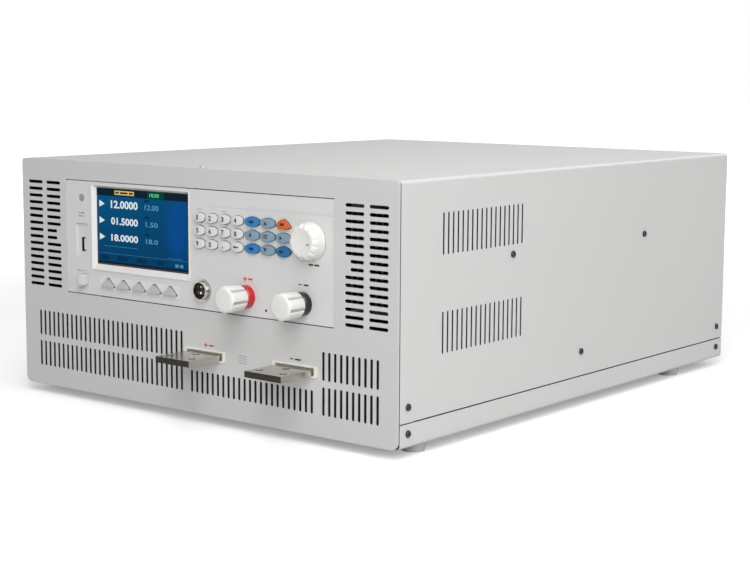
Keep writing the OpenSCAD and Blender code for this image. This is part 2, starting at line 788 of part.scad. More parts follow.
// Sense connector: a threaded metal shell with a flange against the panel, and its insert
module sense_connector() color("silver") in_place() difference() {
    union() {
        along_y(sense_x, sense_z, sense_r, bezel_inset - sense_proud, sense_back);
        along_y(sense_x, sense_z, sense_flange_r, bezel_inset - sense_flange_t, bezel_inset);
        along_y(sense_x, sense_z, sense_flange_r, bezel_back, bezel_back + sense_flange_t);
    }
    along_y(sense_x, sense_z, sense_r - sense_wall, bezel_inset - sense_proud - cut, sense_back + cut);
}

module sense_insert() color(dark) in_place() {
    along_y(sense_x, sense_z, sense_r - sense_wall, sense_floor, sense_back);
    for (i = [0:sense_pins - 1]) rotate_pin(45 + i * 360 / sense_pins)
        along_y(0, 0, sense_pin_r, bezel_inset - sense_proud + sense_pin_tip, sense_floor);
}

module rotate_pin(a) translate([sense_x + sense_pin_ring * cos(a), 0, sense_z + sense_pin_ring * sin(a)]) children();

// Binding posts
module post_collar(x) {
    difference() {
        union() {
            turned(x, bezel_inset, post_z) polygon([[0, 0], [collar_r, 0], [collar_r, collar_t - washer_t],
                [collar_r - washer_t, collar_t], [0, collar_t]]);
            along_y(x, post_z, neck_r, bezel_inset, bezel_back - washer_gap);
            along_y(x, post_z, collar_r, bezel_back, bezel_back + nut_t);
        }
        along_y(x, post_z, stud_r, bezel_inset - collar_t - cut, bezel_back + nut_t + cut);
    }
}

module post_collar_positive() color([0.75, 0.12, 0.14]) in_place() post_collar(post_xs[0]);
module post_collar_negative() color(dark) in_place() post_collar(post_xs[1]);

module post_studs() color(nickel) in_place() for (x = post_xs) {
    along_y(x, post_z, stud_r, cap_y0 - cap_len + cap_end_wall + stud_tip, bezel_back + nut_t + stud_back);
    translate([x, bezel_back + 2 * nut_t, post_z]) rotate([90, 0, 0]) cylinder(h = nut_t, r = nut_r, $fn = 6);
}

module clamp_washer(x) difference() {
    along_y(x, post_z, washer_r, cap_y0 + washer_gap, cap_y0 + washer_gap + washer_t);
    along_y(x, post_z, stud_r + thread_gap, cap_y0 - cut, cap_y0 + washer_t + cut);
}

module clamp_washer_positive() color(nickel) in_place() clamp_washer(post_xs[0]);
module clamp_washer_negative() color(nickel) in_place() clamp_washer(post_xs[1]);

// Moulded cap: low domed front, broad ribs between narrow flutes, blind threaded bore
module post_cap(x) difference() {
    turned(x, cap_y0, post_z) polygon(concat([[0, 0], [cap_r * cap_rear_share, 0]],
        [for (a = [0:18:90]) [cap_flat_r() + cap_edge_r * cos(a), cap_len - cap_dome - cap_edge_r * (1 - sin(a))]],
        [for (s = [0.75:-0.25:0]) [cap_flat_r() * s, cap_len - cap_dome * s * s]]));
    for (i = [0:cap_flutes - 1]) translate([x, cap_y0 - cap_len + cap_front, post_z])
        rotate([0, cap_turn + i * 360 / cap_flutes, 0]) translate([cap_r + cap_flute_r - cap_flute_t, 0, 0])
            rotate([-90, 0, 0]) cylinder(h = cap_len, r = cap_flute_r);
    along_y(x, post_z, stud_r + thread_gap, cap_y0 - cap_len + cap_end_wall, cap_y0 + cut);
}

function cap_flat_r() = cap_r - cap_edge_r;

module post_cap_positive() color(warm_white) in_place() post_cap(post_xs[0]);
module post_cap_negative() color(warm_white) in_place() post_cap(post_xs[1]);

// Bus bars
module busbar(x) difference() {
    translate([x - bar_w / 2, -bar_reach, bar_z - bar_t / 2]) cube([bar_w, bar_reach + bar_back, bar_t]);
    for (dx = [-bar_hole_dx, bar_hole_dx]) bar_hole(x + dx, -bar_hole_ys[0], bar_hole_r);
    bar_hole(x, -bar_hole_ys[1], bar_hole_r);
    for (dx = [-joint_dx, joint_dx]) bar_hole(x + dx, bar_back - joint_inset, joint_hole_r);
}

module bar_hole(x, y, r) translate([x, y, bar_z - bar_t]) cylinder(h = 2 * bar_t, r = r);

module busbar_positive() color(nickel) in_place() busbar(bar_xs[0]);
module busbar_negative() color(nickel) in_place() busbar(bar_xs[1]);

// Insulating guides: a rim on the panel's face, a neck through it and a block behind it
module bar_guides() color(warm_white) in_place() for (x = bar_xs) difference() {
    union() {
        upright(-guide_proud, guide_proud) translate([x, guide_z]) round_rect(guide_rim[0], guide_rim[1], guide_proud);
        upright(0, panel_t) translate([x, guide_z]) square(guide_neck, center = true);
        translate([x - guide_block[0] / 2, panel_t, bar_z - guide_block[2] / 2]) cube(guide_block);
    }
    upright(-guide_proud - cut, guide_proud + panel_t + cut) translate([x, guide_z]) square(guide_mouth, center = true);
    translate([x - bar_w / 2, 0, bar_z - bar_t / 2]) cube([bar_w, panel_t + guide_block[1] + cut, bar_t]);
}

// Cooling
module heat_sinks() color("silver") in_place() for (x = [-tunnel_x, tunnel_x]) {
    sink(x, sink_z, 0);
    sink(x, sink_z + 2 * sink_h, 1);
}

module sink(x, z, flip) translate([x, sink_y0 + sink_len, z]) rotate([90, 0, 0]) mirror([0, flip, 0])
    linear_extrude(sink_len) {
        translate([-sink_w / 2, 0]) square([sink_w, sink_base]);
        for (i = [0:fin_count - 1]) translate([-sink_w / 2 + i * (sink_w - fin_t) / (fin_count - 1), 0])
            square([fin_t, sink_h - fin_gap / 2]);
    }

// Two boards, one under and one over the heat sinks, with transistors pressed on the sinks
module load_boards() color(board_green) in_place() {
    load_board(load_z, 0, load_half_w);
    load_board(upper_load_z + load_board_t, 1, load_half_w + load_board_ear);
}

module load_board(z, flip, half) translate([0, sink_y0, z]) mirror([0, 0, flip]) difference() {
    union() {
        translate([-half, 0, 0]) cube([2 * half, sink_len, load_board_t]);
        for (s = [-1, 1], i = [0:chip_columns - 1], j = [0:chip_rows - 1])
            translate([s * tunnel_x - sink_w / 2 + (i + 0.5) * sink_w / chip_columns - chip[0] / 2,
                (j + 0.5) * sink_len / chip_rows - chip[1] / 2, load_board_t]) cube(chip);
    }
    for (x = bar_xs, dx = [-joint_dx, joint_dx])
        translate([x + dx, bar_back - joint_inset - sink_y0, -cut]) cylinder(h = load_board_t + 2 * cut, r = joint_hole_r);
}

module aux_supply() color(board_green) in_place() translate([aux_x, aux_y0, aux_z]) {
    translate([-aux_size[0] / 2, 0, 0]) cube(aux_size);
    translate([-coil_size[0] / 2, aux_size[1] / 2, aux_size[2]]) cube(coil_size);
    for (s = [-1, 1]) translate([s * (can_r + aux_post_r), 3 * aux_post_r + can_r, aux_size[2]])
        cylinder(h = can_h, r = can_r);
    translate([-aux_size[0] / 2 + aux_post_r, aux_size[1] / 3, aux_size[2]]) cube(cooler_size);
}

module fan_frames() color(dark) in_place() for (x = [-tunnel_x, tunnel_x]) difference() {
    union() {
        upright(rear_y - fan_d, fan_d) translate([x, fan_z]) difference() {
            round_rect(fan_side, fan_side, bend_r);
            circle(r = fan_bore_r, $fn = 96);
        }
        along_y(x, fan_z, stator_r, rear_y - stator_t, rear_y);
        for (a = [0, 90, 180, 270]) upright(rear_y - stator_t, stator_t) translate([x, fan_z]) rotate(a)
            translate([stator_r - strut_w, -strut_w / 2]) square([fan_bore_r - stator_r + 1.5 * strut_w, strut_w]);
        along_y(x, fan_z, 2 * fan_shaft_r, rear_y - fan_d / 2, rear_y);
    }
    along_y(x, fan_z, fan_shaft_r + run_gap, rear_y - fan_d, rear_y + cut);
    for (sx = [-1, 1], sz = [-1, 1]) along_y(x + sx * fan_hole_pitch_share * fan_side / 2,
        fan_z + sz * fan_hole_pitch_share * fan_side / 2, fan_hole_r, rear_y - fan_d - cut, rear_y + cut);
}

// Fan rotor: a cup over the motor, a shaft in its bearing and seven pitched blades
module fan_rotor(x) {
    front = rear_y - fan_d + rotor_gap;
    back = rear_y - stator_t - rotor_gap;
    difference() {
        along_y(x, fan_z, hub_r, front, back);
        along_y(x, fan_z, hub_r - hub_wall, front + hub_wall, back + cut);
    }
    along_y(x, fan_z, fan_shaft_r, front, rear_y - rotor_gap);
    translate([x, back, fan_z]) rotate([90, 0, 0])
        linear_extrude(back - front, twist = blade_twist, slices = 4) for (i = [0:blades - 1])
            rotate(i * 360 / blades) blade();
}

// Plan of one blade: root on the hub, tip short of the frame's bore, leading edge swept
module blade() {
    tip = fan_bore_r - rotor_gap;
    root = hub_r - hub_wall / 2;
    sweep_share = 0.16;
    steps = 3;
    leading = [for (i = [0:steps]) let (r = root + (tip - root) * i / steps) [r, r * sweep_share * i / steps]];
    trailing = [for (i = [steps:-1:0]) let (r = root + (tip - root) * i / steps) [r, r * sweep_share * i / steps - blade_t]];
    polygon(concat(leading, trailing));
}

module fan_rotor_left() color(dark) in_place() fan_rotor(-tunnel_x);
module fan_rotor_right() color(dark) in_place() fan_rotor(tunnel_x);

// Rear connectors
module mains_inlet() color(dark) in_place() {
    difference() {
        union() {
            upright(case_d, inlet_flange[2]) translate([inlet_x, inlet_z])
                round_rect(inlet_flange[0], inlet_flange[1], bend_r);
            upright(case_d - inlet_body, inlet_body) translate([inlet_x, inlet_z])
                square([inlet_w, inlet_h], center = true);
        }
        upright(case_d + inlet_flange[2] - inlet_socket[2], inlet_socket[2] + cut) translate([inlet_x, inlet_z]) inlet_outline();
        for (s = [-1, 1]) along_y(inlet_x + s * inlet_screw_dx, inlet_z, screw_hole_r, case_d - cut, case_d + inlet_flange[2] + cut);
    }
    for (p = [[-inlet_pin_dx, -inlet_pin_dz], [inlet_pin_dx, -inlet_pin_dz], [0, inlet_pin_dz]])
        upright(case_d + inlet_flange[2] - inlet_socket[2], inlet_pin[2])
            translate([inlet_x, inlet_z] + p) square([inlet_pin[0], inlet_pin[1]], center = true);
}

module inlet_outline() polygon([[-inlet_socket[0] / 2, -inlet_socket[1] / 2], [inlet_socket[0] / 2, -inlet_socket[1] / 2],
    [inlet_socket[0] / 2, inlet_socket[1] / 2 - inlet_chamfer], [inlet_socket[0] / 2 - inlet_chamfer, inlet_socket[1] / 2],
    [-inlet_socket[0] / 2 + inlet_chamfer, inlet_socket[1] / 2], [-inlet_socket[0] / 2, inlet_socket[1] / 2 - inlet_chamfer]]);

module serial_port() color("silver") in_place() {
    difference() {
        union() {
            upright(case_d, serial_flange[2]) translate([serial_x, serial_z])
                round_rect(serial_flange[0], serial_flange[1], serial_flange[2]);
            upright(case_d - serial_block[2], serial_block[2]) translate([serial_x, serial_z])
                square([serial_block[0], serial_block[1]], center = true);
            upright(case_d, serial_flange[2] + serial_shell[2]) translate([serial_x, serial_z])
                polygon([[-serial_shell[0] / 2, serial_shell[1] / 2], [serial_shell[0] / 2, serial_shell[1] / 2],
                    [serial_shell[0] / 2 - serial_flange[2], -serial_shell[1] / 2],
                    [-serial_shell[0] / 2 + serial_flange[2], -serial_shell[1] / 2]]);
        }
        for (s = [-1, 1]) along_y(serial_x + s * serial_screw_dx, serial_z, screw_hole_r, case_d - cut, case_d + serial_flange[2] + cut);
    }
}

module feet() color(dark) in_place()
    for (x = [-foot_x, foot_x], y = [foot_front, case_d - foot_rear_in]) translate([x, y, -foot_h]) difference() {
        cylinder(h = foot_h, r1 = foot_r - foot_taper, r2 = foot_r);
        translate([0, 0, -cut]) cylinder(h = foot_hollow_t + cut, r = foot_hollow_r);
        translate([0, 0, -cut]) cylinder(h = foot_h + 2 * cut, r = screw_hole_r);
    }

// Fasteners
module screws() color(dark) in_place() {
    both_sides() {
        for (y = [front_screw_y, case_d - rear_screw_in], z = [low_screw_z, high_screw_z]) side_screw(y, z);
        for (t = side_tabs) side_screw(t[0], t[1]);
    }
    translate([0, front_screw_y, case_h]) pan_screw(screw_len);
    for (x = [-tunnel_x, tunnel_x], sx = [-1, 1], sz = [-1, 1])
        translate([x + sx * fan_hole_pitch_share * fan_side / 2, case_d, fan_z + sz * fan_hole_pitch_share * fan_side / 2])
            rotate([-90, 0, 0]) pan_screw(screw_len);
    for (s = [-1, 1]) translate([inlet_x + s * inlet_screw_dx, case_d + inlet_flange[2], inlet_z])
        rotate([-90, 0, 0]) pan_screw(screw_len);
    for (s = [-1, 1]) translate([serial_x + s * serial_screw_dx, case_d + serial_flange[2], serial_z])
        rotate([-90, 0, 0]) {
            cylinder(h = serial_shell[2] - serial_flange[2], r = serial_nut_r, $fn = 6);
            translate([0, 0, -screw_len]) cylinder(h = screw_len + serial_flange[2], r = screw_r);
        }
    earth_stud();
    for (x = bar_xs, dx = [-joint_dx, joint_dx]) translate([x + dx, bar_back - joint_inset, bar_z - bar_t / 2])
        rotate([180, 0, 0]) {
            cylinder(h = joint_hole_r, r = 2 * joint_hole_r, $fn = 6);
            translate([0, 0, -bar_t - load_board_t]) cylinder(h = bar_t + load_board_t, r = joint_hole_r - run_gap);
        }
    for (x = [-foot_x, foot_x], y = [foot_front, case_d - foot_rear_in]) {
        translate([x, y, foot_hollow_t - foot_h]) rotate([180, 0, 0]) pan_screw(screw_len);
        translate([x, y, sheet]) cylinder(h = screw_head_h, r = screw_head_r, $fn = 6);
    }
}

module side_screw(y, z) translate([half_w, y, z]) rotate([0, 90, 0]) pan_screw(screw_len);

// Pan head with a straight shank, seated on the plane z = 0 and pointing up
module pan_screw(len) {
    rotate_extrude() polygon([[0, 0], [screw_head_r, 0], [screw_head_r, screw_head_h * 0.45],
        [screw_head_r * 0.8, screw_head_h * 0.85], [screw_head_r * 0.45, screw_head_h], [0, screw_head_h]]);
    translate([0, 0, -len]) cylinder(h = len, r = screw_r);
}

module earth_stud() translate([earth_x, case_d, earth_z]) rotate([-90, 0, 0]) {
    translate([0, 0, -rear_reach]) cylinder(h = 2 * rear_reach, r = earth_r);
    cylinder(h = rear_reach * 0.4, r = 2 * earth_r, $fn = 6);
}

// Keys: a crowned cap that slides in its aperture, held by a flange behind the panel
module keypad_key(p, w) {
    intersection() {
        upright(-key_proud, key_proud + stem_back) translate(p) children();
        translate([p[0], key_crown_r - key_proud, p[1]]) sphere(r = key_crown_r, $fn = 96);
    }
    upright(stem_back, stem_t) translate(p) square([w - 2 * stem_t, key_h + 2 * stem_over], center = true);
}

module white_key(row, i) color(warm_white) in_place() keypad_key(white_place(row, i), key_w) oval(key_w, key_h);
module tint_key(row, i) color(tint_colours[row][i]) in_place()
    keypad_key(tint_place(row, i), tint_key_w) tint_outline(row, i, 0);

// Soft key: a triangular wedge whose base stands out and whose apex is nearly flush
module soft_key(i) color([0.68, 0.68, 0.69]) in_place() translate([soft_x0 + i * soft_pitch, 0, soft_z0]) {
    difference() {
        upright(-soft_proud, soft_proud + stem_back) clipped_triangle(soft_w, soft_h, soft_clip);
        translate([0, -soft_proud, soft_clip]) rotate([-atan((soft_proud - soft_rise) / (soft_h - soft_clip)), 0, 0])
            translate([-soft_w, -soft_h, 0]) cube([2 * soft_w, soft_h, 2 * soft_h]);
    }
    upright(stem_back, stem_t) translate([0, soft_h / 2 - stem_over / 2])
        square([soft_w / 2, soft_h + stem_over + 2 * stem_over], center = true);
}

chassis_tray();
top_cover();
front_panel();
rear_panel();
control_bezel();
display_frame();
display_module();
key_board();
power_button();
usb_port();
adjust_knob();
encoder();
sense_connector();
sense_insert();
post_collar_positive();
post_collar_negative();
post_studs();
post_cap_positive();
post_cap_negative();
clamp_washer_positive();
clamp_washer_negative();
busbar_positive();
busbar_negative();
bar_guides();
heat_sinks();
load_boards();
aux_supply();
fan_frames();
fan_rotor_left();
fan_rotor_right();
mains_inlet();
serial_port();
feet();
screws();
for (row = [0:2], i = [0:3]) white_key(row, i);
for (row = [0:2], i = [0:2]) tint_key(row, i);
for (i = [0:soft_count - 1]) soft_key(i);
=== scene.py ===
"""A full-width bench DC electronic load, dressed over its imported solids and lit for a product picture."""
import math

import bmesh
import bpy
from mathutils import Matrix, Vector


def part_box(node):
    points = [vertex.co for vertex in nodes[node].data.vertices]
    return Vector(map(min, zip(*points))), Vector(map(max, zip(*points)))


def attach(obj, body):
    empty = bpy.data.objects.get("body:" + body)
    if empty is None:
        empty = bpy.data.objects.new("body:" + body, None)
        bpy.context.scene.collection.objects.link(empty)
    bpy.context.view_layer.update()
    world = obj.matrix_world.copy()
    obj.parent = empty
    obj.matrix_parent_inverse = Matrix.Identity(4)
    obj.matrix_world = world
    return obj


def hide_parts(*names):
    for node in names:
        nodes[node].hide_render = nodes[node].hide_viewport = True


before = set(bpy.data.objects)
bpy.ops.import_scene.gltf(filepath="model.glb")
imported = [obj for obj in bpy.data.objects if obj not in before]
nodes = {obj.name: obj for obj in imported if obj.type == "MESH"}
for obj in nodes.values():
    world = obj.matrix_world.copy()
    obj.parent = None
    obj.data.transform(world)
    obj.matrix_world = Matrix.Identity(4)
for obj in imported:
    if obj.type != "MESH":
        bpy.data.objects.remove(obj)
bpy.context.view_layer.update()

# The viewpoint: a long lens from the right, a little above the lid, held almost level.
# Its place and angles are in metres and degrees; the focal length is in pixels of a picture 750 pixels wide.
picture_width = 750
focal_length = 1612.4
film_width = 36
turn, tilt, lean = (math.radians(angle) for angle in (38.69, 7.64, 0.33))
ahead = Vector((-math.sin(turn) * math.cos(tilt), math.cos(turn) * math.cos(tilt), -math.sin(tilt)))
level = Vector((math.cos(turn), math.sin(turn), 0))
above = level.cross(ahead)
across = level * math.cos(lean) + above * math.sin(lean)
upward = above * math.cos(lean) - level * math.sin(lean)
lens = bpy.data.cameras.new("long_lens")
lens.sensor_width = film_width
lens.lens = film_width * focal_length / picture_width
lens.clip_start = 0.05
lens.clip_end = 30
viewer = bpy.data.objects.new("viewer", lens)
bpy.context.scene.collection.objects.link(viewer)
stance = Matrix((across, upward, -ahead)).transposed().to_4x4()
viewer.matrix_world = Matrix.Translation((0.943, -1.1863, 0.2964)) @ stance
bpy.context.scene.camera = viewer
bpy.context.scene.view_settings.view_transform = "Standard"


# Studio: a wide white sheet, a white room and five soft boxes.
# The camera sees sheet and room as plain white, so only the soft shadow is left under the feet.
class Wire:
    """One value running through a node tree, with arithmetic on it."""

    def __init__(self, chain, socket):
        self.chain = chain
        self.socket = socket

    def maths(self, operation, *values):
        return self.chain.node("ShaderNodeMath", {"operation": operation}, *values)

    def __add__(self, other):
        return self.maths("ADD", self, other)

    __radd__ = __add__

    def __sub__(self, other):
        return self.maths("SUBTRACT", self, other)

    def __rsub__(self, other):
        return self.maths("SUBTRACT", other, self)

    def __mul__(self, other):
        return self.maths("MULTIPLY", self, other)

    __rmul__ = __mul__

    def __truediv__(self, other):
        return self.maths("DIVIDE", self, other)

    def __gt__(self, other):
        return self.maths("GREATER_THAN", self, other)

    def __lt__(self, other):
        return self.maths("LESS_THAN", self, other)

    def __abs__(self):
        return self.maths("ABSOLUTE", self)

    def root(self):
        return self.maths("SQRT", self)

    def held(self):
        """The value, kept between 0 and 1."""
        return self.chain.node("ShaderNodeClamp", {}, self)

    def within(self, low, high):
        """1 where the value lies between low and high, and 0 elsewhere."""
        return (self > low) * (self < high)


class Chain:
    """A node tree, with the calls that add nodes to it and join them."""

    def __init__(self, tree):
        self.tree = tree

    def node(self, kind, settings, *values, out=0, **named):
        made = self.tree.nodes.new(kind)
        for name, value in settings.items():
            setattr(made, name, value)
        for socket, value in list(enumerate(values)) + list(named.items()):
            self.feed(made.inputs[socket], value)
        return Wire(self, made.outputs[out])

    def feed(self, socket, value):
        if isinstance(value, Wire):
            self.tree.links.new(value.socket, socket)
        else:
            socket.default_value = value

    def other(self, wire, name):
        """Another output of the node that a wire leaves."""
        return Wire(self, wire.socket.node.outputs[name])

    def ramp(self, value, low, high, at_low, at_high, course="LINEAR"):
        """Goes from at_low to at_high while the value goes from low to high."""
        settings = {"interpolation_type": course}
        return self.node("ShaderNodeMapRange", settings, value, low, high, at_low, at_high)


class Finish(Chain):
    """A material built as a chain of nodes that ends in one surface shader."""

    def __init__(self, name, **constants):
        self.material = bpy.data.materials.new(name)
        self.material.use_nodes = True
        super().__init__(self.material.node_tree)
        self.shader = self.tree.nodes["Principled BSDF"]
        self.wear(**constants)

    def wear(self, **sockets):
        """Sets or joins sockets of the surface shader; underscores stand for spaces."""
        for name, value in sockets.items():
            self.feed(self.shader.inputs[name.replace("_", " ")], value)

    def place(self):
        return self.node("ShaderNodeTexCoord", {}, out="Object")

    def grain(self, scale, detail=2.0, stretch=None):
        """A fine noise over the object, stretched along its axes by factors."""
        where = self.place()
        if stretch:
            where = self.node("ShaderNodeVectorMath", {"operation": "MULTIPLY"}, where, stretch)
        return self.node("ShaderNodeTexNoise", {}, Vector=where, Scale=scale, Detail=detail)

    def blend(self, share, first, second):
        """A colour that is the first where the share is 0, and the second where it is 1."""
        mix = self.node("ShaderNodeMix", {"data_type": "RGBA"}, share).socket.node
        colour_inputs, colour_output = (6, 7), 2
        for socket, colour in zip(colour_inputs, (first, second)):
            self.feed(mix.inputs[socket], colour)
        return Wire(self, mix.outputs[colour_output])

    def clouded(self, shade, share, scale):
        """A colour that drifts a little lighter and darker over the surface."""
        low = (*(c * (1 - share) for c in shade), 1)
        high = (*(min(1, c * (1 + share)) for c in shade), 1)
        return self.blend(self.grain(scale), low, high)

    def bump(self, height, depth, round_by=0.0003, strength=0.4):
        """A fine relief over edges that are rounded by a small radius, both in metres."""
        eased = self.node("ShaderNodeBevel", {"samples": 4}, round_by)
        return self.node("ShaderNodeBump", {}, Height=height, Strength=strength, Distance=depth, Normal=eased)


def grey(value):
    return (value, value, value, 1)


def stage_set(thing):
    bpy.context.scene.collection.objects.link(thing)
    return thing


sheet_reach = 9  # metres to each side
seen_white = grey(0.95)
unseen_grey = grey(0.54)  # what the sheet throws back on the instrument
paper = Finish("white_sheet", Roughness=0.9, Specular_IOR_Level=0.1)
direct = paper.node("ShaderNodeLightPath", {}, out="Is Camera Ray")
seen = (direct + paper.other(direct, "Is Glossy Ray")).held()
paper.wear(Base_Color=paper.blend(seen, unseen_grey, seen_white))
afar = paper.node("ShaderNodeVectorMath", {"operation": "LENGTH"}, paper.place(), out="Value")
lift = paper.ramp(afar, 0.5, 1.9, 0.24, 0.85, "SMOOTHSTEP")
glow = paper.node("ShaderNodeEmission", {}, grey(1), seen * lift)
both = paper.node("ShaderNodeAddShader", {}, Wire(paper, paper.shader.outputs[0]), glow)
paper.feed(paper.tree.nodes["Material Output"].inputs["Surface"], both)
paper_mesh = bpy.data.meshes.new("white_sheet")
sheet_corners = [(a * sheet_reach, b * sheet_reach, 0) for a, b in ((-1, -1), (1, -1), (1, 1), (-1, 1))]
paper_mesh.from_pydata(sheet_corners, [], [(0, 1, 2, 3)])
paper_mesh.materials.append(paper.material)
stage_set(bpy.data.objects.new("white_sheet", paper_mesh))

room = bpy.data.worlds.new("white_room")
bpy.context.scene.world = room
room.use_nodes = True
walls = room.node_tree.nodes["Background"].inputs
air = Chain(room.node_tree)
to_camera = air.node("ShaderNodeLightPath", {}, out="Is Camera Ray")
rightward = air.node("ShaderNodeSeparateXYZ", {}, air.node("ShaderNodeTexCoord", {}, out="Generated"))
mirrored = air.ramp(rightward, -0.95, -0.1, 0.4, 1)  # glossy surfaces see the left of the room dimmer
mirrored = air.ramp(rightward, -0.78, -0.6, 0, mirrored)
plain = air.ramp(air.other(to_camera, "Is Glossy Ray"), 0, 1, 0.32, mirrored)
air.feed(walls["Color"], grey(1))
air.feed(walls["Strength"], air.ramp(to_camera, 0, 1, plain, 1))


def soft_box(name, spot, side, power):
    """A square lamp, aimed at the middle of the instrument."""
    lamp = bpy.data.lights.new(name, "AREA")
    lamp.size = side
    lamp.energy = power
    box = stage_set(bpy.data.objects.new(name, lamp))
    box.location = spot
    box.rotation_euler = (Vector((0, 0, 0.1)) - Vector(spot)).to_track_quat("-Z", "Y").to_euler()


soft_box("key_box", (1.0, -1.3, 1.7), 0.9, 14)
soft_box("overhead_box", (0.15, -0.1, 2.1), 1.3, 10)
soft_box("right_box", (1.9, -0.6, 0.9), 1.0, 8.5)
soft_box("front_box", (1.1, -1.7, 0.8), 0.8, 12)
soft_box("rear_box", (0.6, 2.4, 1.5), 1.2, 10)


# Folded steel case: tray, cover, front panel and rear panel, screwed together.
# Powder coat in two greys outside, with a fine orange peel; the inner faces and slot walls are painted
# near-black, painted shade for the dark inside of the case.
# A place on the instrument is given in millimetres, as how far it lies right of the middle, back from the
# front panel's face, and up from the sheet metal's lower edge.
front_face, metal_edge = (round(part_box("front_panel")[0][axis] * 1000, 2) for axis in (1, 2))
zero_place = (0, front_face, metal_edge)


def corners(name):
    """A node's lowest and highest corners, in millimetres."""
    return [[round(c * 1000 - zero, 2) for c, zero in zip(corner, zero_place)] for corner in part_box(name)]


def middle(name):
    """The middle of a node's box, in millimetres."""
    return [round((a + b) * 500 - zero, 2) for a, b, zero in zip(*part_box(name), zero_place)]


def axes(finish):
    """Three wires of a material: how far right, back and up a point lies, in millimetres."""
    split = finish.node("ShaderNodeSeparateXYZ", {}, finish.place())
    right, back, up = (finish.other(split, axis) * 1000 for axis in "XYZ")
    return right, back - front_face, up - metal_edge


def coated(name, shade, shade_mask):
    """Powder coat; the last argument takes the three axes and gives 1 where the sheet is painted near-black,
    painted shade for the inside of the case.
    """
    coat = Finish(name, Specular_IOR_Level=0.4)
    inside = shade_mask(*axes(coat))
    cloud = coat.grain(7)
    coat.wear(Base_Color=coat.blend(inside, coat.clouded(shade, 0.02, 5), grey(0.012)),
              Roughness=0.38 + cloud * 0.1 + inside * 0.3,
              Normal=coat.bump(coat.grain(1500, 1), 0.00002, 0.0005, 0.35))
    return coat.material


def dress(material, *names):
    """Gives CAD nodes a finish."""
    for name in names:
        nodes[name].data.materials.clear()
        nodes[name].data.materials.append(material)


half_width, _, case_height = corners("front_panel")[1]
case_depth = corners("rear_panel")[1][1]
bezel_low, bezel_high = corners("control_bezel")
fold_inset = 2.5  # along the diagonal of a fold, which is rounded by 3 mm outside


# Painted shade: the cover's, tray's and rear panel's inner faces are painted black where the inside of the
# case lies in shade.
def cover_shade_mask(right, back, up):
    flat = (abs(right) < half_width - 0.15) * up.within(0.4, case_height - 0.4)
    upper_fold = abs(right) + up < half_width + case_height - fold_inset
    return flat * upper_fold * (abs(right) - up < half_width - fold_inset)


def rear_shade_mask(right, back, up):
    return back < case_depth - 0.4


def panel_shade_mask(right, back, up):
    """Painted shade: the slots' walls are painted black from 0.2 mm in; behind the control panel's edge the
    black starts deeper.
    """
    lap = 5
    behind_bezel = right.within(bezel_low[0] + lap, bezel_high[0] - lap)
    behind_bezel = behind_bezel * up.within(bezel_low[2] + lap, bezel_high[2] - lap)
    inward = (abs(right) < half_width - 1.8) * up.within(3, case_height - 3)
    return (back > 0.2 + 0.5 * behind_bezel) * inward


cover_grey = (0.665, 0.665, 0.655)
dress(coated("cover_powder_coat", cover_grey, cover_shade_mask), "chassis_tray", "top_cover")
dress(coated("rear_powder_coat", cover_grey, rear_shade_mask), "rear_panel")
dress(coated("panel_powder_coat", (0.61, 0.61, 0.605), panel_shade_mask), "front_panel")


# Moulded control panel, clipped behind the front panel, with its screen-printed marks.
# Grey plastic with a fine spark-eroded texture; the name strip over the keys is bare between hairlines.
def moulded(name, shade, roughness=0.48, texture=0.000015, round_by=0.0003):
    plastic = Finish(name, Specular_IOR_Level=0.45)
    cloud = plastic.grain(14)
    plastic.wear(Base_Color=plastic.clouded(shade, 0.02, 9), Roughness=roughness - 0.04 + cloud * 0.08,
                 Normal=plastic.bump(plastic.grain(2600, 1), texture, round_by))
    return plastic.material


def ink(name, shade, lit=0.0):
    """Printing ink, or a lit patch of the display."""
    film = Finish(name, Roughness=0.5, Specular_IOR_Level=0.0 if lit else 0.3, Emission_Strength=lit)
    tone = film.clouded(shade, 0.08, 900)
    film.wear(Base_Color=grey(0.003) if lit else tone)
    if lit:
        film.wear(Emission_Color=tone, Roughness=0.3)
    return film.material


def mm(right, back, up):
    """A place on the instrument as Blender takes it."""
    return Vector((right / 1000, (back + front_face) / 1000, (up + metal_edge) / 1000))


FACINGS = {  # where a drawing's right and up point, seen from the front or from the rear
    "front": ((1, 0, 0), (0, 0, 1)), "rear": ((-1, 0, 0), (0, 0, 1))}


def looking(x, y, z, facing="front"):
    """Carries a drawing in millimetres, seen from +Z, to a place on the instrument's front or rear."""
    right, up = (Vector(v) for v in FACINGS[facing])
    turned_to = Matrix((right, up, right.cross(up))).transposed().to_4x4()
    return Matrix.Translation(mm(x, y, z)) @ turned_to @ Matrix.Scale(0.001, 4)


def piece(name, mesh, material, body="case", stands_for=()):
    """A piece in its place: riding a body and the CAD nodes that it stands for."""
    mesh.materials.clear()
    mesh.materials.append(material)
    thing = stage_set(bpy.data.objects.new(name, mesh))
    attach(thing, body)
    if stands_for:
        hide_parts(*stands_for)


def lettering(words, width, height):
    """A flat mesh of plain bold characters, centred on its own origin and fitted to a box in millimetres."""
    type_line = bpy.data.curves.new("type_line", "FONT")
    type_line.body = words
    type_line.size = height
    type_line.offset = height * 0.03
    type_line.resolution_u = 3
    holder = stage_set(bpy.data.objects.new("type_line", type_line))
    bpy.context.view_layer.update()
    flat = bpy.data.meshes.new_from_object(holder)
    bpy.data.objects.remove(holder)
    low = [min(vert.co[axis] for vert in flat.vertices) for axis in (0, 1)]
    high = [max(vert.co[axis] for vert in flat.vertices) for axis in (0, 1)]
    centred = Matrix.Translation((-(low[0] + high[0]) / 2, -(low[1] + high[1]) / 2, 0))
    flat.transform(Matrix.Diagonal((width / (high[0] - low[0]), height / (high[1] - low[1]), 1, 1)) @ centred)
    return flat


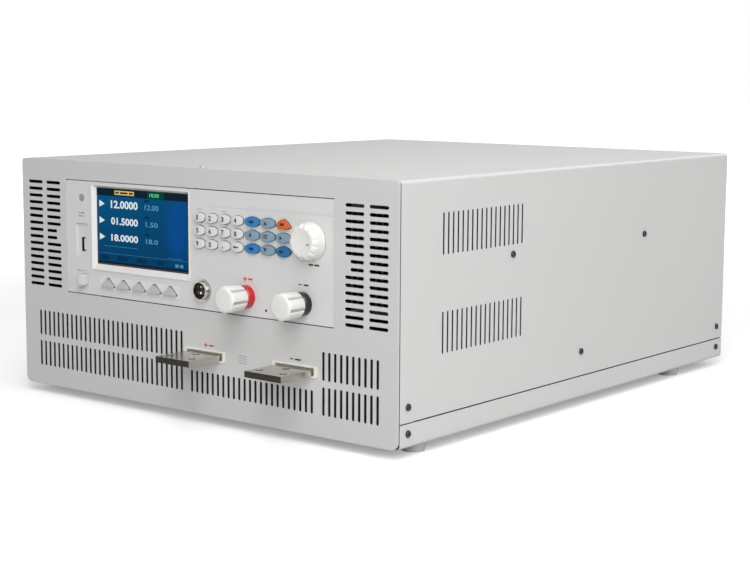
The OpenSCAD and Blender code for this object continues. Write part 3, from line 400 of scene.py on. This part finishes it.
def printed(name, marks, at, material, body="case", lie=None):
    """A thin print: each mark is an outline of (x, z) points or (words, x, z, width, height), placed by the
    matrix at; lie(x, z) says how far the print is bent back there."""
    page = bmesh.new()
    for mark in marks:
        if isinstance(mark[0], str):
            words, x, z, width, height = mark
            flat = lettering(words, width, height)
            flat.transform(Matrix.Translation((x, z, 0)))
            page.from_mesh(flat)
            bpy.data.meshes.remove(flat)
        else:
            page.faces.new([page.verts.new((x, z, 0)) for x, z in mark])
    if lie:
        bmesh.ops.triangulate(page, faces=page.faces)
        bmesh.ops.subdivide_edges(page, edges=page.edges, cuts=2, use_grid_fill=True)
        for vert in page.verts:
            vert.co.z -= lie(vert.co.x, vert.co.y)
    page.transform(at)
    page.normal_update()
    sheet = bpy.data.meshes.new(name)
    page.to_mesh(sheet)
    page.free()
    piece(name, sheet, material, body)


def bar(x0, z0, x1, z1):
    """A rectangle's outline, counter-clockwise from its lower left corner."""
    return [(x0, z0), (x1, z0), (x1, z1), (x0, z1)]


def arrow(x, z, width, height, quarter):
    """A triangle's outline round a centre, turned by quarters from pointing up to left, down and right."""
    tip = [(-width / 2, -height / 2), (width / 2, -height / 2), (0, height / 2)]
    for _ in range(quarter):
        tip = [(-b, a) for a, b in tip]
    return [(x + a, z + b) for a, b in tip]


def disc(x, z, radius, steps=24):
    return [(x + radius * math.cos(2 * math.pi * i / steps), z + radius * math.sin(2 * math.pi * i / steps))
            for i in range(steps)]


def moved(marks, x, z):
    """The same marks with their origin at (x, z)."""
    return [(mark[0], mark[1] + x, mark[2] + z, *mark[3:]) if isinstance(mark[0], str)
            else [(a + x, b + z) for a, b in mark] for mark in marks]


def over(name, marks):
    """The same marks with their origin at the middle of a node, seen from the front."""
    x, _, z = middle(name)
    return moved(marks, x, z)


bezel_print = looking(0, bezel_low[1] - 0.04, 0)
panel_print = looking(0, -0.05, 0)


def on_bezel(name, marks, film):
    printed(name, marks, bezel_print, film)


def on_panel(name, marks, film):
    printed(name, marks, panel_print, film)


strip_left, strip_right = -114.5, -15.5  # the light strip round the soft keys
panel_plastic = Finish("control_panel_plastic", Specular_IOR_Level=0.45)
right, back, up = axes(panel_plastic)
key_strip = right.within(strip_left, strip_right) * up.within(94.4, 105) * (back < bezel_low[1] + 0.1)
tone = panel_plastic.blend(key_strip, panel_plastic.clouded((0.69, 0.69, 0.688), 0.02, 9), grey(0.77))
# Painted shade: the walls of the apertures round the keys are painted near-black, for the shade in the narrow
# gaps.
pierced = ((right > -1) + right.within(strip_left, strip_right) * (up < 106)).held()
aperture_shade = pierced * (back > bezel_low[1] + 0.2)  # walls of the apertures round the keys
panel_plastic.wear(Base_Color=panel_plastic.blend(aperture_shade, tone, grey(0.02)),
                   Roughness=0.44 + panel_plastic.grain(14) * 0.08,
                   Normal=panel_plastic.bump(panel_plastic.grain(2600, 1), 0.000015))
dress(panel_plastic.material, "control_bezel")
dark_ink = ink("dark_print", (0.035, 0.035, 0.04))
pale_ink = ink("grey_print", (0.30, 0.30, 0.30))
fine_ink = ink("fine_grey_print", (0.50, 0.50, 0.50))
red_ink = ink("red_print", (0.60, 0.05, 0.05))
on_bezel("name_strip_hairlines", [bar(18.9, 173.7, 152, 174.0), bar(62, 175.2, 152, 175.4)], fine_ink)
on_bezel("key_label_strokes", [bar(x, z, x + 6, z + 0.5) for x, z in (
    (5, 170.6), (33, 170.2), (6, 159.8), (35, 159.5), (33, 148.8), (48, 148.8))], pale_ink)
on_bezel("knob_label_strokes", [bar(x, 134, x + 5, 135.5) for x in (126.6, 132.6)], dark_ink)
on_bezel("usb_arrow", over("usb_port", [
    bar(-3.4, 27.3, 1.8, 28.1), arrow(2.8, 27.7, 2.6, 2.2, 3),
    bar(-1.8, 24.5, 3.4, 25.3), arrow(-2.8, 24.9, 2.6, 2.2, 1)]), pale_ink)
on_bezel("positive_post_mark", over("post_cap_positive", [
    ("+", -1.5, 14.3, 4, 4), bar(1.9, 13.6, 6.5, 15)]), red_ink)
on_bezel("negative_post_mark", over("post_cap_negative", [
    bar(-4.7, 14.5, -1.1, 15.3), bar(0.9, 14.1, 5.9, 15.5)]), dark_ink)
on_bezel("post_dot", [disc(81.8, 94.1, 1.2)], dark_ink)
on_panel("positive_bar_mark", over("busbar_positive", [
    ("+", 0.8, 8.9, 4, 4), bar(4.4, 8.2, 10, 9.6)]), red_ink)
on_panel("negative_bar_mark", over("busbar_negative", [
    bar(-5.4, 8.2, -1.8, 9), bar(0, 7.9, 6, 9.3)]), dark_ink)
on_panel("bar_label_strokes", [bar(52, z, 61, z + 0.5) for z in (54.2, 52.2, 50.2, 48.2)], pale_ink)


# Display: a raised white frame with sloping inner sides, and a colour display module behind it.
# The picture is lit: three readouts over small values, a dark top line and blank soft-key fields.
warm_white = (0.80, 0.79, 0.765)
dress(moulded("frame_plastic", warm_white, 0.38), "display_frame")
glass = Finish("display_module_black", Base_Color=grey(0.012), Specular_IOR_Level=0.35)
glass.wear(Roughness=0.16 + glass.grain(60) * 0.06)
dress(glass.material, "display_module")

screen_left, screen_low, screen_right, screen_top = -118.2, 116.9, -8.4, 181.7
screen_face = corners("display_module")[0][1]
top_line = 175.5  # lower edge of the dark line along the top
picture = Finish("display_picture", Base_Color=grey(0.002), Roughness=0.3, Specular_IOR_Level=0.0,
                 Emission_Strength=1.0)
right, back, up = axes(picture)
field = picture.blend(((up - 117) / 65).held(), (0.001, 0.045, 0.125, 1), (0.002, 0.085, 0.215, 1))
field = picture.blend(((right + 118) / 90).held() * 0.4, field, (0.001, 0.036, 0.10, 1))
column = (1 - abs(right + 20) / 17).held() * (1 - abs(up - 152) / 32).held() * 2.2
field = picture.blend(column.held() * 0.6, field, (0.003, 0.07, 0.33, 1))
field = picture.blend(up > top_line, field, (0.004, 0.010, 0.018, 1))
field = picture.blend(right.within(-56, -35.4) * (up > top_line), field, (0.001, 0.045, 0.028, 1))
field = picture.blend(up < 118.4, field, (0.001, 0.006, 0.014, 1))
picture.wear(Emission_Color=picture.blend(picture.grain(400, 1) * 0.12, field, (0.003, 0.09, 0.19, 1)))


def on_screen(name, marks, film, lift=0.1):
    """Lit marks a tenth of a millimetre or so in front of the display module's face."""
    printed(name, marks, looking(0, screen_face - lift, 0), film)


on_screen("display_picture", [bar(screen_left, screen_low, screen_right, screen_top)], picture.material, 0.05)
white_lit = ink("display_white", (0.72, 0.80, 0.84), 0.95)
blue_lit = ink("display_pale_blue", (0.07, 0.25, 0.42), 1.0)
amber_lit = ink("display_amber", (0.80, 0.55, 0.18), 0.9)
green_lit = ink("display_green", (0.10, 0.75, 0.22), 0.9)
dark_field = ink("display_dark_field", (0.001, 0.028, 0.075), 1.0)
on_screen("display_readouts", [("12.0000", -84.6, 168.5, 33.6, 6.8), ("01.5000", -84.6, 154.1, 33.6, 6.3),
                               ("18.0000", -84.6, 139.8, 33.6, 6.0)], white_lit)
on_screen("display_row_arrows", [arrow(-112.6, z, 6.0, 6.8, 3) for z in (168.5, 154.1, 139.8)], white_lit)
on_screen("display_small_values", [("12.00", -50.8, 168, 17, 4.6), ("1.50", -50.8, 153.6, 15, 4.4),
                                   ("18.0", -50.8, 139.2, 15, 4.2)], blue_lit)
on_screen("display_tag", [bar(-96.5, 176.9, -72.2, 180.5)], amber_lit)
on_screen("display_clock", [("10:30", -47.5, 178.6, 11.5, 3.2)], green_lit)
key_fields = [bar(x0, 119.8, x1, 124) for x0, x1 in (
    (-114.9, -104.6), (-93.3, -81.1), (-69.7, -57.3), (-44.9, -36.4))]
row_fields = [bar(-59.8, z, -53.5, z + 2) for z in (172.4, 158.4, 143.8)]
tag_dashes = [bar(x0, 177.9, x1, 179.5) for x0, x1 in ((-95.4, -91), (-89.5, -80), (-78.5, -73.5))]
on_screen("display_fields", key_fields + row_fields + tag_dashes, dark_field, 0.14)
on_screen("display_hairlines", [
    bar(-111, 131.9, -69, 132.2), bar(-31, 126.8, -15, 127.1), bar(-23, 119.9, -19, 122.6),
    bar(-17.4, 119.9, -13.4, 122.6), bar(screen_left, 125.6, screen_right, 125.8)], blue_lit, 0.12)


# Keypad: crowned plastic keys, each sliding in its own aperture, with a printed mark a little left of the
# middle. Twelve are white with digits; the others are pale blue, blue and orange with arrows or a dark patch.
def keycap(name, shade, roughness):
    """Key plastic with painted shade: a soft dark ring where the key sinks into its aperture."""
    plastic = Finish(name, Specular_IOR_Level=0.4)
    right, back, up = axes(plastic)
    # Painted shade darkens the key's sides towards its aperture.
    rim = ((back + 0.9) * 1.3).held() * 0.75
    shaded_tone = (*(c * 0.25 for c in shade), 1)
    plastic.wear(Base_Color=plastic.blend(rim, plastic.clouded(shade, 0.02, 9), shaded_tone),
                 Roughness=roughness + plastic.grain(14) * 0.08,
                 Normal=plastic.bump(plastic.grain(2600, 1), 0.000008))
    return plastic.material


KEY_FINISHES = {  # the record's slot, and the moulding
    "white": ("white_plastic", keycap("key_white", (0.71, 0.71, 0.70), 0.34)),
    "blue": ("key_blue", keycap("key_blue", (0.015, 0.185, 0.47), 0.36)),
    "deep": ("key_blue", keycap("key_deep_blue", (0.012, 0.13, 0.33), 0.36)),
    "pale": ("key_pale", keycap("key_pale_blue", (0.215, 0.32, 0.41), 0.36)),
    "orange": ("key_orange", keycap("key_orange", (0.61, 0.125, 0.025), 0.36))}
CROWN = 26.0  # radius of a key's crowned front
key_print = looking(0, corners("key_1")[0][1] - 0.05, 0)


def keypad_key(name, colour, x, z, marks, film):
    """Dresses a key whose middle is at (x, z), and lays the marks over its crown."""
    slot, plastic = KEY_FINISHES[colour]
    dress(plastic, name)
    printed(name + "_mark", moved(marks, x, z), key_print, film, name,
            lambda a, b: CROWN - math.sqrt(CROWN ** 2 - (a - x) ** 2 - (b - z) ** 2))


row_heights = [middle(name)[2] for name in ("key_1", "key_5", "key_9")]
white_columns = [middle(name)[0] for name in ("key_1", "key_2", "key_3", "key_4")]
tinted_columns = [middle(name)[0] for name in ("key_left", "key_menu", "key_right")]
white_marks = [(f"key_{digit}", [(digit, -0.8, 0, 1.6 if digit == "1" else 2.9, 4.2)])
               for digit in "1234567890"]
white_marks += [("key_point", [disc(-0.8, -1.4, 0.7, 12)]),
                ("key_back", [arrow(-2.4, 0, 3, 2.4, 1), bar(-1.2, -0.5, 2.4, 0.5)])]
for place, (name, marks) in enumerate(white_marks):
    keypad_key(name, "white", white_columns[place % 4], row_heights[place // 4], marks, dark_ink)

navy_ink = ink("navy_print", (0.008, 0.02, 0.06))
brick_ink = ink("brick_print", (0.11, 0.012, 0.008))
patch = [bar(-2, -1.1, 2.8, 1.1)]
tinted_keys = (
    ("key_mode", "blue", patch, navy_ink),
    ("key_up", "pale", [arrow(-1.2, 0, 4.2, 3.2, 0)], dark_ink),
    ("key_load", "orange", [bar(-2.4, -1.1, 2, 1.1)], brick_ink),
    ("key_left", "pale", [arrow(-1.2, 0, 3.8, 3, 1)], dark_ink),
    ("key_menu", "pale", [bar(-3.2, 0.4, 1.2, 1.3), bar(-3.2, -1.3, 1.2, -0.4)], dark_ink),
    ("key_right", "pale", [arrow(-1.2, 0, 3.8, 3, 3)], dark_ink),
    ("key_save", "blue", patch, navy_ink),
    ("key_down", "pale", [arrow(-1.2, 0, 4.2, 3.2, 2)], dark_ink),
    ("key_enter", "deep", [bar(-3.2, -1.1, 1.2, 1.1)], navy_ink))
for place, (name, colour, marks, film) in enumerate(tinted_keys):
    keypad_key(name, colour, tinted_columns[place % 3], row_heights[place // 3], marks, film)


# Soft keys under the display, the power button and the round sensor window at the left.
# The soft keys are grey wedges, the button is white, and the window is a smoked lens in its recess.
dress(keycap("soft_key_grey", (0.50, 0.50, 0.505), 0.42), *(f"soft_key_{i}" for i in range(1, 6)))
dress(moulded("button_plastic", (0.66, 0.65, 0.63), 0.36), "power_button")
smoke = Finish("sensor_window", Base_Color=grey(0.24), Coat_Weight=0.6, Coat_Roughness=0.08)
smoke.wear(Roughness=0.25 + smoke.grain(300) * 0.1)
window_print = looking(0, bezel_low[1] - 0.03, 0)
printed("sensor_window", [disc(-136.1, 172.3, 3.3, 32)], window_print, smoke.material)


# USB port: a folded steel shell on the keyboard's edge, its mouth painted near-black as painted shade round a
# white tongue.
# The mouth is 5.1 by 12.5 mm, and the tongue lies right of its middle.
port_x, _, port_z = middle("usb_port")
shell = Finish("usb_shell")
right, back, up = axes(shell)
sunk = back > corners("usb_port")[0][1] + 0.2
# Painted shade: the inside of the mouth is near-black and not metallic.
mouth_shade = (abs(right - port_x) < 2.55) * (abs(up - port_z) < 6.25) * sunk
tongue = (abs(right - (port_x + 1.2)) < 0.95) * (abs(up - port_z) < 4.85) * sunk
tone = shell.blend(mouth_shade, (0.62, 0.61, 0.58, 1), grey(0.02))
shell.wear(Base_Color=shell.blend(tongue, tone, grey(0.78)), Metallic=1 - mouth_shade,
           Roughness=0.26 + shell.grain(400) * 0.12, Normal=shell.bump(shell.grain(900), 0.00001, 0.0002))
dress(shell.material, "usb_port")


# Adjusting knob: a warm white moulded cap on the encoder's shaft, with fourteen finger scallops.
# The scallops notch only the rounded front edge; the side wall is smooth above a low skirt.
def turned(name, rings, angles, shape=None, closed=False):
    """A skin turned about +Z in millimetres, from rings of (height, radius); shape(angle, radius, height)
    gives another radius where it isn't round."""
    skin = bmesh.new()
    loops = []
    for height, radius in rings:
        if radius == 0:
            loops.append([skin.verts.new((0, 0, height))])
            continue
        loop = []
        for angle in angles:
            reach = shape(angle, radius, height) if shape else radius
            loop.append(skin.verts.new((reach * math.cos(angle), reach * math.sin(angle), height)))
        loops.append(loop)
    count = len(angles)
    for first, second in zip(loops, loops[1:] + (loops[:1] if closed else [])):
        for i in range(count):
            j = (i + 1) % count
            lower = [first[0]] if len(first) == 1 else [first[i], first[j]]
            upper = [second[0]] if len(second) == 1 else [second[j], second[i]]
            skin.faces.new(lower + upper)
    bmesh.ops.recalc_face_normals(skin, faces=skin.faces)
    mesh = bpy.data.meshes.new(name)
    skin.to_mesh(mesh)
    skin.free()
    mesh.shade_smooth()
    mesh.set_sharp_from_angle(angle=math.radians(38))
    return mesh


def around(steps):
    return [2 * math.pi * i / steps for i in range(steps)]


def quarter_round(height, radius, tall, wide, steps):
    """Rings of a rounded edge round a centre, from the side up to the front."""
    return [(height + tall * math.sin(math.pi / 2 * i / steps),
             radius + wide * math.cos(math.pi / 2 * i / steps)) for i in range(steps + 1)]


scallops = 14
scallop_depth = 1.0
scallop_foot = 6.4  # height on the side wall where the notches begin
face_radius = 10.0  # inside it the front is smooth


def scallop(angle, radius, height):
    """Notches that grow from the side wall to the rim and fade out on the front."""
    hollow = (0.5 - 0.5 * math.cos(scallops * angle)) ** 3
    rise = min(1, max(0, (height - scallop_foot) / 3)) ** 1.4
    fade = min(1, max(0, (radius - face_radius) / 2))
    return radius - scallop_depth * hollow * rise * fade


bore = [(-9, 0), (-9, 3), (7.7, 3), (7.7, 6.8), (0, 6.8)]
skirt = [(0, 14.8), (0.3, 15.1), (0.7, 15.2), (1.5, 15.15), (1.7, 14.9), (3.6, 14.7)]
dished_front = [(11.4, 9.8), (11.15, 8.3), (10.85, 6.2), (10.7, 3), (10.7, 0)]
knob_x, _, knob_z = middle("adjust_knob")
knob_mesh = turned("knob_skin", bore + skirt + quarter_round(5.75, 10.3, 5.7, 4.1, 9) + dished_front,
                   around(12 * scallops), scallop)
knob_mesh.transform(looking(knob_x, 0, knob_z))
knob_finish = moulded("knob_plastic", (0.80, 0.785, 0.75), 0.34, 0.000006, 0.0002)
piece("adjust_knob_skin", knob_mesh, knob_finish, "adjust_knob", ["adjust_knob"])
printed("adjust_knob_index", over("adjust_knob", [bar(5, -2, 8.3, -1.2)]), looking(0, -11.1, 0), dark_ink,
        "adjust_knob")


# Sense connector: a nickel-plated round socket with a threaded barrel and four gold pins in a black insert.
# The thread is a skin of its own over the turned barrel.
def plated(name, shade, roughness, stretch=None, relief=0.000006):
    metal = Finish(name, Metallic=1.0)
    brushed = metal.grain(260, 3, stretch)
    metal.wear(Base_Color=metal.clouded(shade, 0.04, 30), Roughness=roughness - 0.05 + brushed * 0.1,
               Normal=metal.bump(brushed, relief, 0.00025))
    return metal.material


bright = plated("bright_nickel", (0.74, 0.73, 0.70), 0.2)
turned_nickel = plated("turned_black_nickel", (0.46, 0.445, 0.41), 0.14)
dress(turned_nickel, "sense_connector")
thread_pitch = 0.5
thread = [(1.55, 7.8), (1.6, 8.0)]
for step in range(4):
    thread += [(1.75 + thread_pitch * step, 8.15), (2.0 + thread_pitch * step, 8.02)]
socket_x, _, socket_z = middle("sense_connector")
thread_mesh = turned("sense_thread", thread + [(3.7, 7.8)], around(48), closed=True)
thread_mesh.transform(looking(socket_x, 0, socket_z))
piece("sense_thread", thread_mesh, turned_nickel)
insert = Finish("connector_insert", Specular_IOR_Level=0.4)
right, back, up = axes(insert)
pins = back < 4.9
insert.wear(Base_Color=insert.blend(pins, grey(0.015), (0.92, 0.86, 0.72, 1)), Metallic=pins,
            Roughness=0.32 + insert.grain(500) * 0.1, Normal=insert.bump(insert.grain(1500), 0.00001, 0.0002))
dress(insert.material, "sense_insert")


# Binding posts: glossy collars pushed through the panel, plated washers and studs, white fluted caps.
# Each cap is a thick moulding with a low domed front and six broad ribs between narrow round grooves.
dress(moulded("collar_red", (0.52, 0.012, 0.018), 0.2, 0.000004, 0.0004), "post_collar_positive")
dress(moulded("collar_black", (0.013, 0.012, 0.014), 0.2, 0.000004, 0.0004), "post_collar_negative")
dress(bright, "post_studs", "clamp_washer_positive", "clamp_washer_negative")
cap_root = corners("post_cap_positive")[1][1]
groove_radius = 2.2
groove_reach = 11.6  # from the cap's axis to the grooves' own
groove_end = 17.19  # height over the cap's root


def cap_plastic(name, x, z):
    """White plastic with painted shade: darker in the grooves round the axis at (x, z)."""
    plastic = Finish(name, Specular_IOR_Level=0.45)
    right, back, up = axes(plastic)
    reach = ((right - x) * (right - x) + (up - z) * (up - z)).root()
    groove_shade = ((10.0 - reach) * 1.8).held() * back.within(cap_root - 17.25, cap_root - 0.2) * (reach > 9.2)
    tone = plastic.blend(groove_shade, plastic.clouded(warm_white, 0.02, 9), (0.42, 0.415, 0.395, 1))
    plastic.wear(Base_Color=tone, Roughness=0.32 + plastic.grain(14) * 0.08,
                 Normal=plastic.bump(plastic.grain(2600, 1), 0.000008, 0.0002))
    return plastic.material


def fluted(angle, radius, height):
    """Six round grooves, 1.6 mm deep, that end flat just behind the front edge."""
    if radius < 9 or height > groove_end:
        return radius
    part = math.remainder(angle + math.radians(15), math.pi / 3)
    inside = groove_radius ** 2 - (groove_reach * math.sin(part)) ** 2
    if inside <= 0 or math.cos(part) < 0:
        return radius
    return min(radius, groove_reach * math.cos(part) - math.sqrt(inside))


cap_rings = [(17, 0), (17, 4.08), (0, 4.08), (0, 9.9), (0.25, 10.2), (0.6, 10.35), (8, 10.67)]
edge_heights = (15.6, 16.2, 16.7, 17.05, 17.18, 17.2, 17.5, 17.8, 18.1, 18.35, 18.55, 18.66, 18.7)
cap_rings += [(height, 7.4 + 3.6 * math.sqrt(max(0, 1 - ((height - 15.6) / 3.1) ** 2)))
              for height in edge_heights]
cap_rings += [(18.85, 5), (18.96, 2.5), (19, 0)]
for side in ("positive", "negative"):
    x, _, z = middle(f"post_cap_{side}")
    cap_mesh = turned("cap_skin", cap_rings, around(240), fluted)
    cap_mesh.transform(looking(x, cap_root, z))
    piece(f"post_cap_{side}_skin", cap_mesh, cap_plastic(f"cap_plastic_{side}", x, z), f"cap_{side}",
          [f"post_cap_{side}"])


# Bus bars: nickel-plated bars, brushed along their length, with darker sheared front ends.
# They pass white moulded guides in the front panel.
bars = Finish("bar_nickel", Metallic=1.0)
right, back, up = axes(bars)
streaks = bars.grain(60, 4, (18, 1, 18))
ends = back < corners("busbar_positive")[0][1] + 0.15
tone = bars.blend(ends, bars.clouded((0.60, 0.575, 0.515), 0.06, 25), (0.045, 0.041, 0.036, 1))
bars.wear(Base_Color=tone, Roughness=0.16 + streaks * 0.14 + ends * 0.25,
          Normal=bars.bump(streaks, 0.000012, 0.0004))
dress(bars.material, "busbar_positive", "busbar_negative")
dress(moulded("guide_plastic", warm_white, 0.4), "bar_guides")


# Screws: black pan heads with a cross recess, set from one model by geometry nodes. They hold the cover and
# the tray at the sides and on top, the fans, the mains inlet and the feet.
def repeated(name, mesh, places, material):
    """One mesh of millimetres set at every (x, y, z, facing), made into a single mesh."""
    pattern = stage_set(bpy.data.objects.new(name + "_pattern", mesh))
    spots = bpy.data.meshes.new(name)
    spots.from_pydata([mm(x, y, z) for x, y, z, facing in places], [], [])
    heading = spots.attributes.new("facing", "FLOAT_VECTOR", "POINT")
    for i, place in enumerate(places):
        heading.data[i].vector = place[3]
    group = bpy.data.node_groups.new(name, "GeometryNodeTree")
    sockets = {}
    for label, kind in (("Points", "Geometry"), ("Pattern", "Object"), ("Finish", "Material")):
        sockets[label] = group.interface.new_socket(label, in_out="INPUT", socket_type="NodeSocket" + kind)
    group.interface.new_socket("Result", in_out="OUTPUT", socket_type="NodeSocketGeometry")
    given, info, named, aim, put, real, paint, result = (group.nodes.new(kind) for kind in (
        "NodeGroupInput", "GeometryNodeObjectInfo", "GeometryNodeInputNamedAttribute",
        "FunctionNodeAlignRotationToVector", "GeometryNodeInstanceOnPoints", "GeometryNodeRealizeInstances",
        "GeometryNodeSetMaterial", "NodeGroupOutput"))
    named.data_type = "FLOAT_VECTOR"
    named.inputs["Name"].default_value = "facing"
    aim.axis = "Z"
    for source, target in (
            (given.outputs["Points"], put.inputs["Points"]),
            (given.outputs["Pattern"], info.inputs["Object"]),
            (info.outputs["Geometry"], put.inputs["Instance"]),
            (named.outputs["Attribute"], aim.inputs["Vector"]),
            (aim.outputs["Rotation"], put.inputs["Rotation"]),
            (put.outputs["Instances"], real.inputs["Geometry"]),
            (real.outputs["Geometry"], paint.inputs["Geometry"]),
            (given.outputs["Finish"], paint.inputs["Material"]),
            (paint.outputs["Geometry"], result.inputs["Result"])):
        group.links.new(source, target)
    maker = stage_set(bpy.data.objects.new(name, spots))
    repeat = maker.modifiers.new("repeat", "NODES")
    repeat.node_group = group
    repeat[sockets["Pattern"].identifier] = pattern
    repeat[sockets["Finish"].identifier] = material
    graph = bpy.context.evaluated_depsgraph_get()
    made = bpy.data.meshes.new_from_object(maker.evaluated_get(graph), depsgraph=graph)
    maker.modifiers.clear()
    bpy.data.objects.remove(maker)
    bpy.data.objects.remove(pattern)
    return made


arm_reach, arm_half_width = 1.5, 0.4


def cross(angle, radius, height):
    """Outline of the cross recess; the shank and the wider rings stay round."""
    if radius > arm_reach + 0.1 or height < 0.5:
        return radius
    part = abs(math.remainder(angle, math.pi / 2))
    reach = min(arm_reach / math.cos(part), arm_half_width / max(1e-6, math.sin(part)))
    return radius / arm_reach * reach


LEFT, RIGHT, BACK, UP, DOWN = (-1, 0, 0), (1, 0, 0), (0, 1, 0), (0, 0, 1), (0, 0, -1)
recess_angle = math.degrees(math.atan2(arm_half_width, arm_reach))
head_angles = [math.radians(q * 90 + a) for q in range(4) for a in (
    0, recess_angle, 30, 45, 60, 90 - recess_angle)]
shank_rings = [(-7, 0), (-7, 1.5), (0, 1.5)]
head_rings = [(0, 2.85), (0.1, 2.9), (0.8, 2.9), (1.15, 2.78), (1.5, 2.4), (1.68, 1.9)]
recess_rings = [(1.74, arm_reach), (0.8, 1.2), (0.7, 0)]
screw_mesh = turned("pan_head", shank_rings + head_rings + recess_rings, head_angles, cross)
screw_mesh.transform(Matrix.Scale(0.001, 4))
corner_screws = ((13.5, 11.4), (13.5, 32), (518, 11.4), (518, 32))
middle_screws = ((152.3, 136.5), (367.5, 136.5), (261.3, 41.4))
fan_x, fan_z, fan_hole = 66, middle("fan_frames")[2], 52.5
inlet_x, _, inlet_z = middle("mains_inlet")
feet_places = [(x, y) for x in (-200, 200) for y in (40, 448)]
spots = [(x, y, z, way) for x, way in ((half_width, RIGHT), (-half_width, LEFT))
         for y, z in corner_screws + middle_screws]
spots += [(0, 13.5, case_height, UP)]
spots += [(x + i * fan_hole, case_depth, fan_z + j * fan_hole, BACK)
          for x in (-fan_x, fan_x) for i in (-1, 1) for j in (-1, 1)]
spots += [(inlet_x + i * 20, corners("mains_inlet")[1][1], inlet_z, BACK) for i in (-1, 1)]
spots += [(x, y, -3, DOWN) for x, y in feet_places]
black_steel = Finish("black_oxide_steel", Specular_IOR_Level=0.45)
right, back, up = axes(black_steel)
blacked = black_steel.clouded((0.016, 0.016, 0.018), 0.1, 90)
black_steel.wear(Base_Color=black_steel.blend(up > case_height - 0.1, blacked, grey(0.5)),
                 Roughness=0.15 + black_steel.grain(400) * 0.08,
                 Normal=black_steel.bump(black_steel.grain(1500, 1), 0.000005, 0.0002))
piece("pan_screws", repeated("pan_screws", screw_mesh, spots, black_steel.material), black_steel.material,
      stands_for=["screws"])


# Hexagon nuts hold the feet, the bars, the serial port and the earth stud under the mains inlet.
# They and the stud are steel with a zinc plate.
def hexagon(width, height, bore_radius, chamfer):
    """A hexagon nut standing on its own plane, chamfered at the free end."""
    point = width / math.sqrt(3)
    rings = [(0, bore_radius), (0, point), (height - chamfer, point), (height, point - chamfer),
             (height, bore_radius)]
    nut = turned("hexagon", rings, around(6), closed=True)
    nut.transform(Matrix.Scale(0.001, 4))
    return nut


zinc = plated("zinc_plate", (0.62, 0.62, 0.60), 0.28)
serial_x, _, serial_z = middle("serial_port")
jack_spots = [(serial_x + i * 12.5, case_depth + 1, serial_z, BACK) for i in (-1, 1)]
jack_mesh = repeated("jack_nuts", hexagon(5.0, 5, 1.2, 0.3), jack_spots, zinc)
piece("jack_nuts", jack_mesh, zinc)
earth_x, earth_z = 172, 22
thread_rings = [(0.4 * i - 8, 2 - 0.14 * (i % 2)) for i in range(1, 40)]
stud_mesh = turned("earth_stud", [(-8, 0), (-8, 2)] + thread_rings + [(7.8, 1.7), (7.8, 0)], around(20))
stud_mesh.transform(looking(earth_x, case_depth, earth_z, "rear"))
piece("earth_stud", stud_mesh, zinc)
nut_spots = [(earth_x, case_depth, earth_z, BACK)]
nut_spots += [(middle(f"busbar_{side}")[0] + i * 10, 207, corners(f"busbar_{side}")[0][2], DOWN)
              for side in ("positive", "negative") for i in (-1, 1)]
nut_spots += [(x, y, 1.5, UP) for x, y in feet_places]
nut_mesh = repeated("frame_nuts", hexagon(7.0, 3.2, 1.9, 0.4), nut_spots, zinc)
piece("frame_nuts", nut_mesh, zinc)


# Inside, seen through the grilles and vents: heat sinks, load boards, keyboard, encoder and supply.
# Extruded aluminium between green boards with black transistors.
dress(plated("extruded_aluminium", (0.60, 0.61, 0.62), 0.36, (1, 14, 1), 0.00001), "heat_sinks")


def board(name, slabs, parts=(0.014, 0.014, 0.015, 1)):
    """Green solder mask where a point lies in one of the slabs (axis, low, high), dark parts elsewhere."""
    mask = Finish(name, Specular_IOR_Level=0.45)
    along = axes(mask)
    inside = [along[axis].within(low, high) for axis, low, high in slabs]
    bricks = mask.node("ShaderNodeTexBrick", {"offset": 0.5}, Vector=mask.place(), Scale=55.0)
    traces = mask.other(bricks, "Fac")
    green = mask.blend(traces * 0.5, (0.006, 0.085, 0.035, 1), (0.03, 0.17, 0.07, 1))
    mask.wear(Base_Color=mask.blend(sum(inside, 0).held(), parts, green),
              Roughness=0.34 + mask.grain(220) * 0.2, Normal=mask.bump(traces, 0.00003))
    return mask.material


dress(board("load_board_green", ((2, 52.4, 54.2), (2, 172.0, 173.8))), "load_boards")
dress(board("keyboard_green", ((1, 9.95, 11.65),)), "key_board")
dress(board("supply_green", ((2, 11.9, 13.65),), (0.10, 0.075, 0.05, 1)), "aux_supply")
dress(zinc, "encoder")


# Fans: black glass-filled mouldings on the rear panel, their rotors turning on a steel shaft.
# Frames and rotors have the same satin finish.
dress(moulded("fan_plastic", (0.018, 0.018, 0.02), 0.42, 0.00002),
      "fan_frames", "fan_rotor_left", "fan_rotor_right")


# Rear connections: moulded mains inlet with plated blades, and a serial port in a stamped shell.
# The port's black insert carries nine contacts in two rows.
inlet = Finish("inlet_black", Specular_IOR_Level=0.45)
right, back, up = axes(inlet)
blades = (abs(right - inlet_x) < 9.2) * (abs(up - inlet_z) < 6.6) * (back > 516.8)
inlet.wear(Base_Color=inlet.blend(blades, grey(0.016), (0.70, 0.68, 0.62, 1)), Metallic=blades,
           Roughness=0.36 + inlet.grain(400) * 0.08, Normal=inlet.bump(inlet.grain(2000), 0.00001))
dress(inlet.material, "mains_inlet")
dress(bright, "serial_port")
contact_pitch, row_half = 2.76, 1.42
contacts = [disc(-5.5 + contact_pitch * i, row_half, 0.55, 16) for i in range(5)]
contacts += [disc(-4.1 + contact_pitch * i, -row_half, 0.55, 16) for i in range(4)]
printed("serial_insert", [[(-6.3, -3.1), (6.3, -3.1), (7.4, 3.1), (-7.4, 3.1)]],
        looking(serial_x, case_depth + 6.05, serial_z, "rear"),
        moulded("serial_insert", (0.014, 0.014, 0.018), 0.4))
printed("serial_contacts", contacts, looking(serial_x, case_depth + 6.1, serial_z, "rear"), zinc)


# Feet: pale grey rubber bumpers, each held by a screw from below.
# The rubber has a coarse, matt grain.
dress(moulded("foot_rubber", (0.52, 0.52, 0.51), 0.7, 0.00004, 0.0006), "feet")
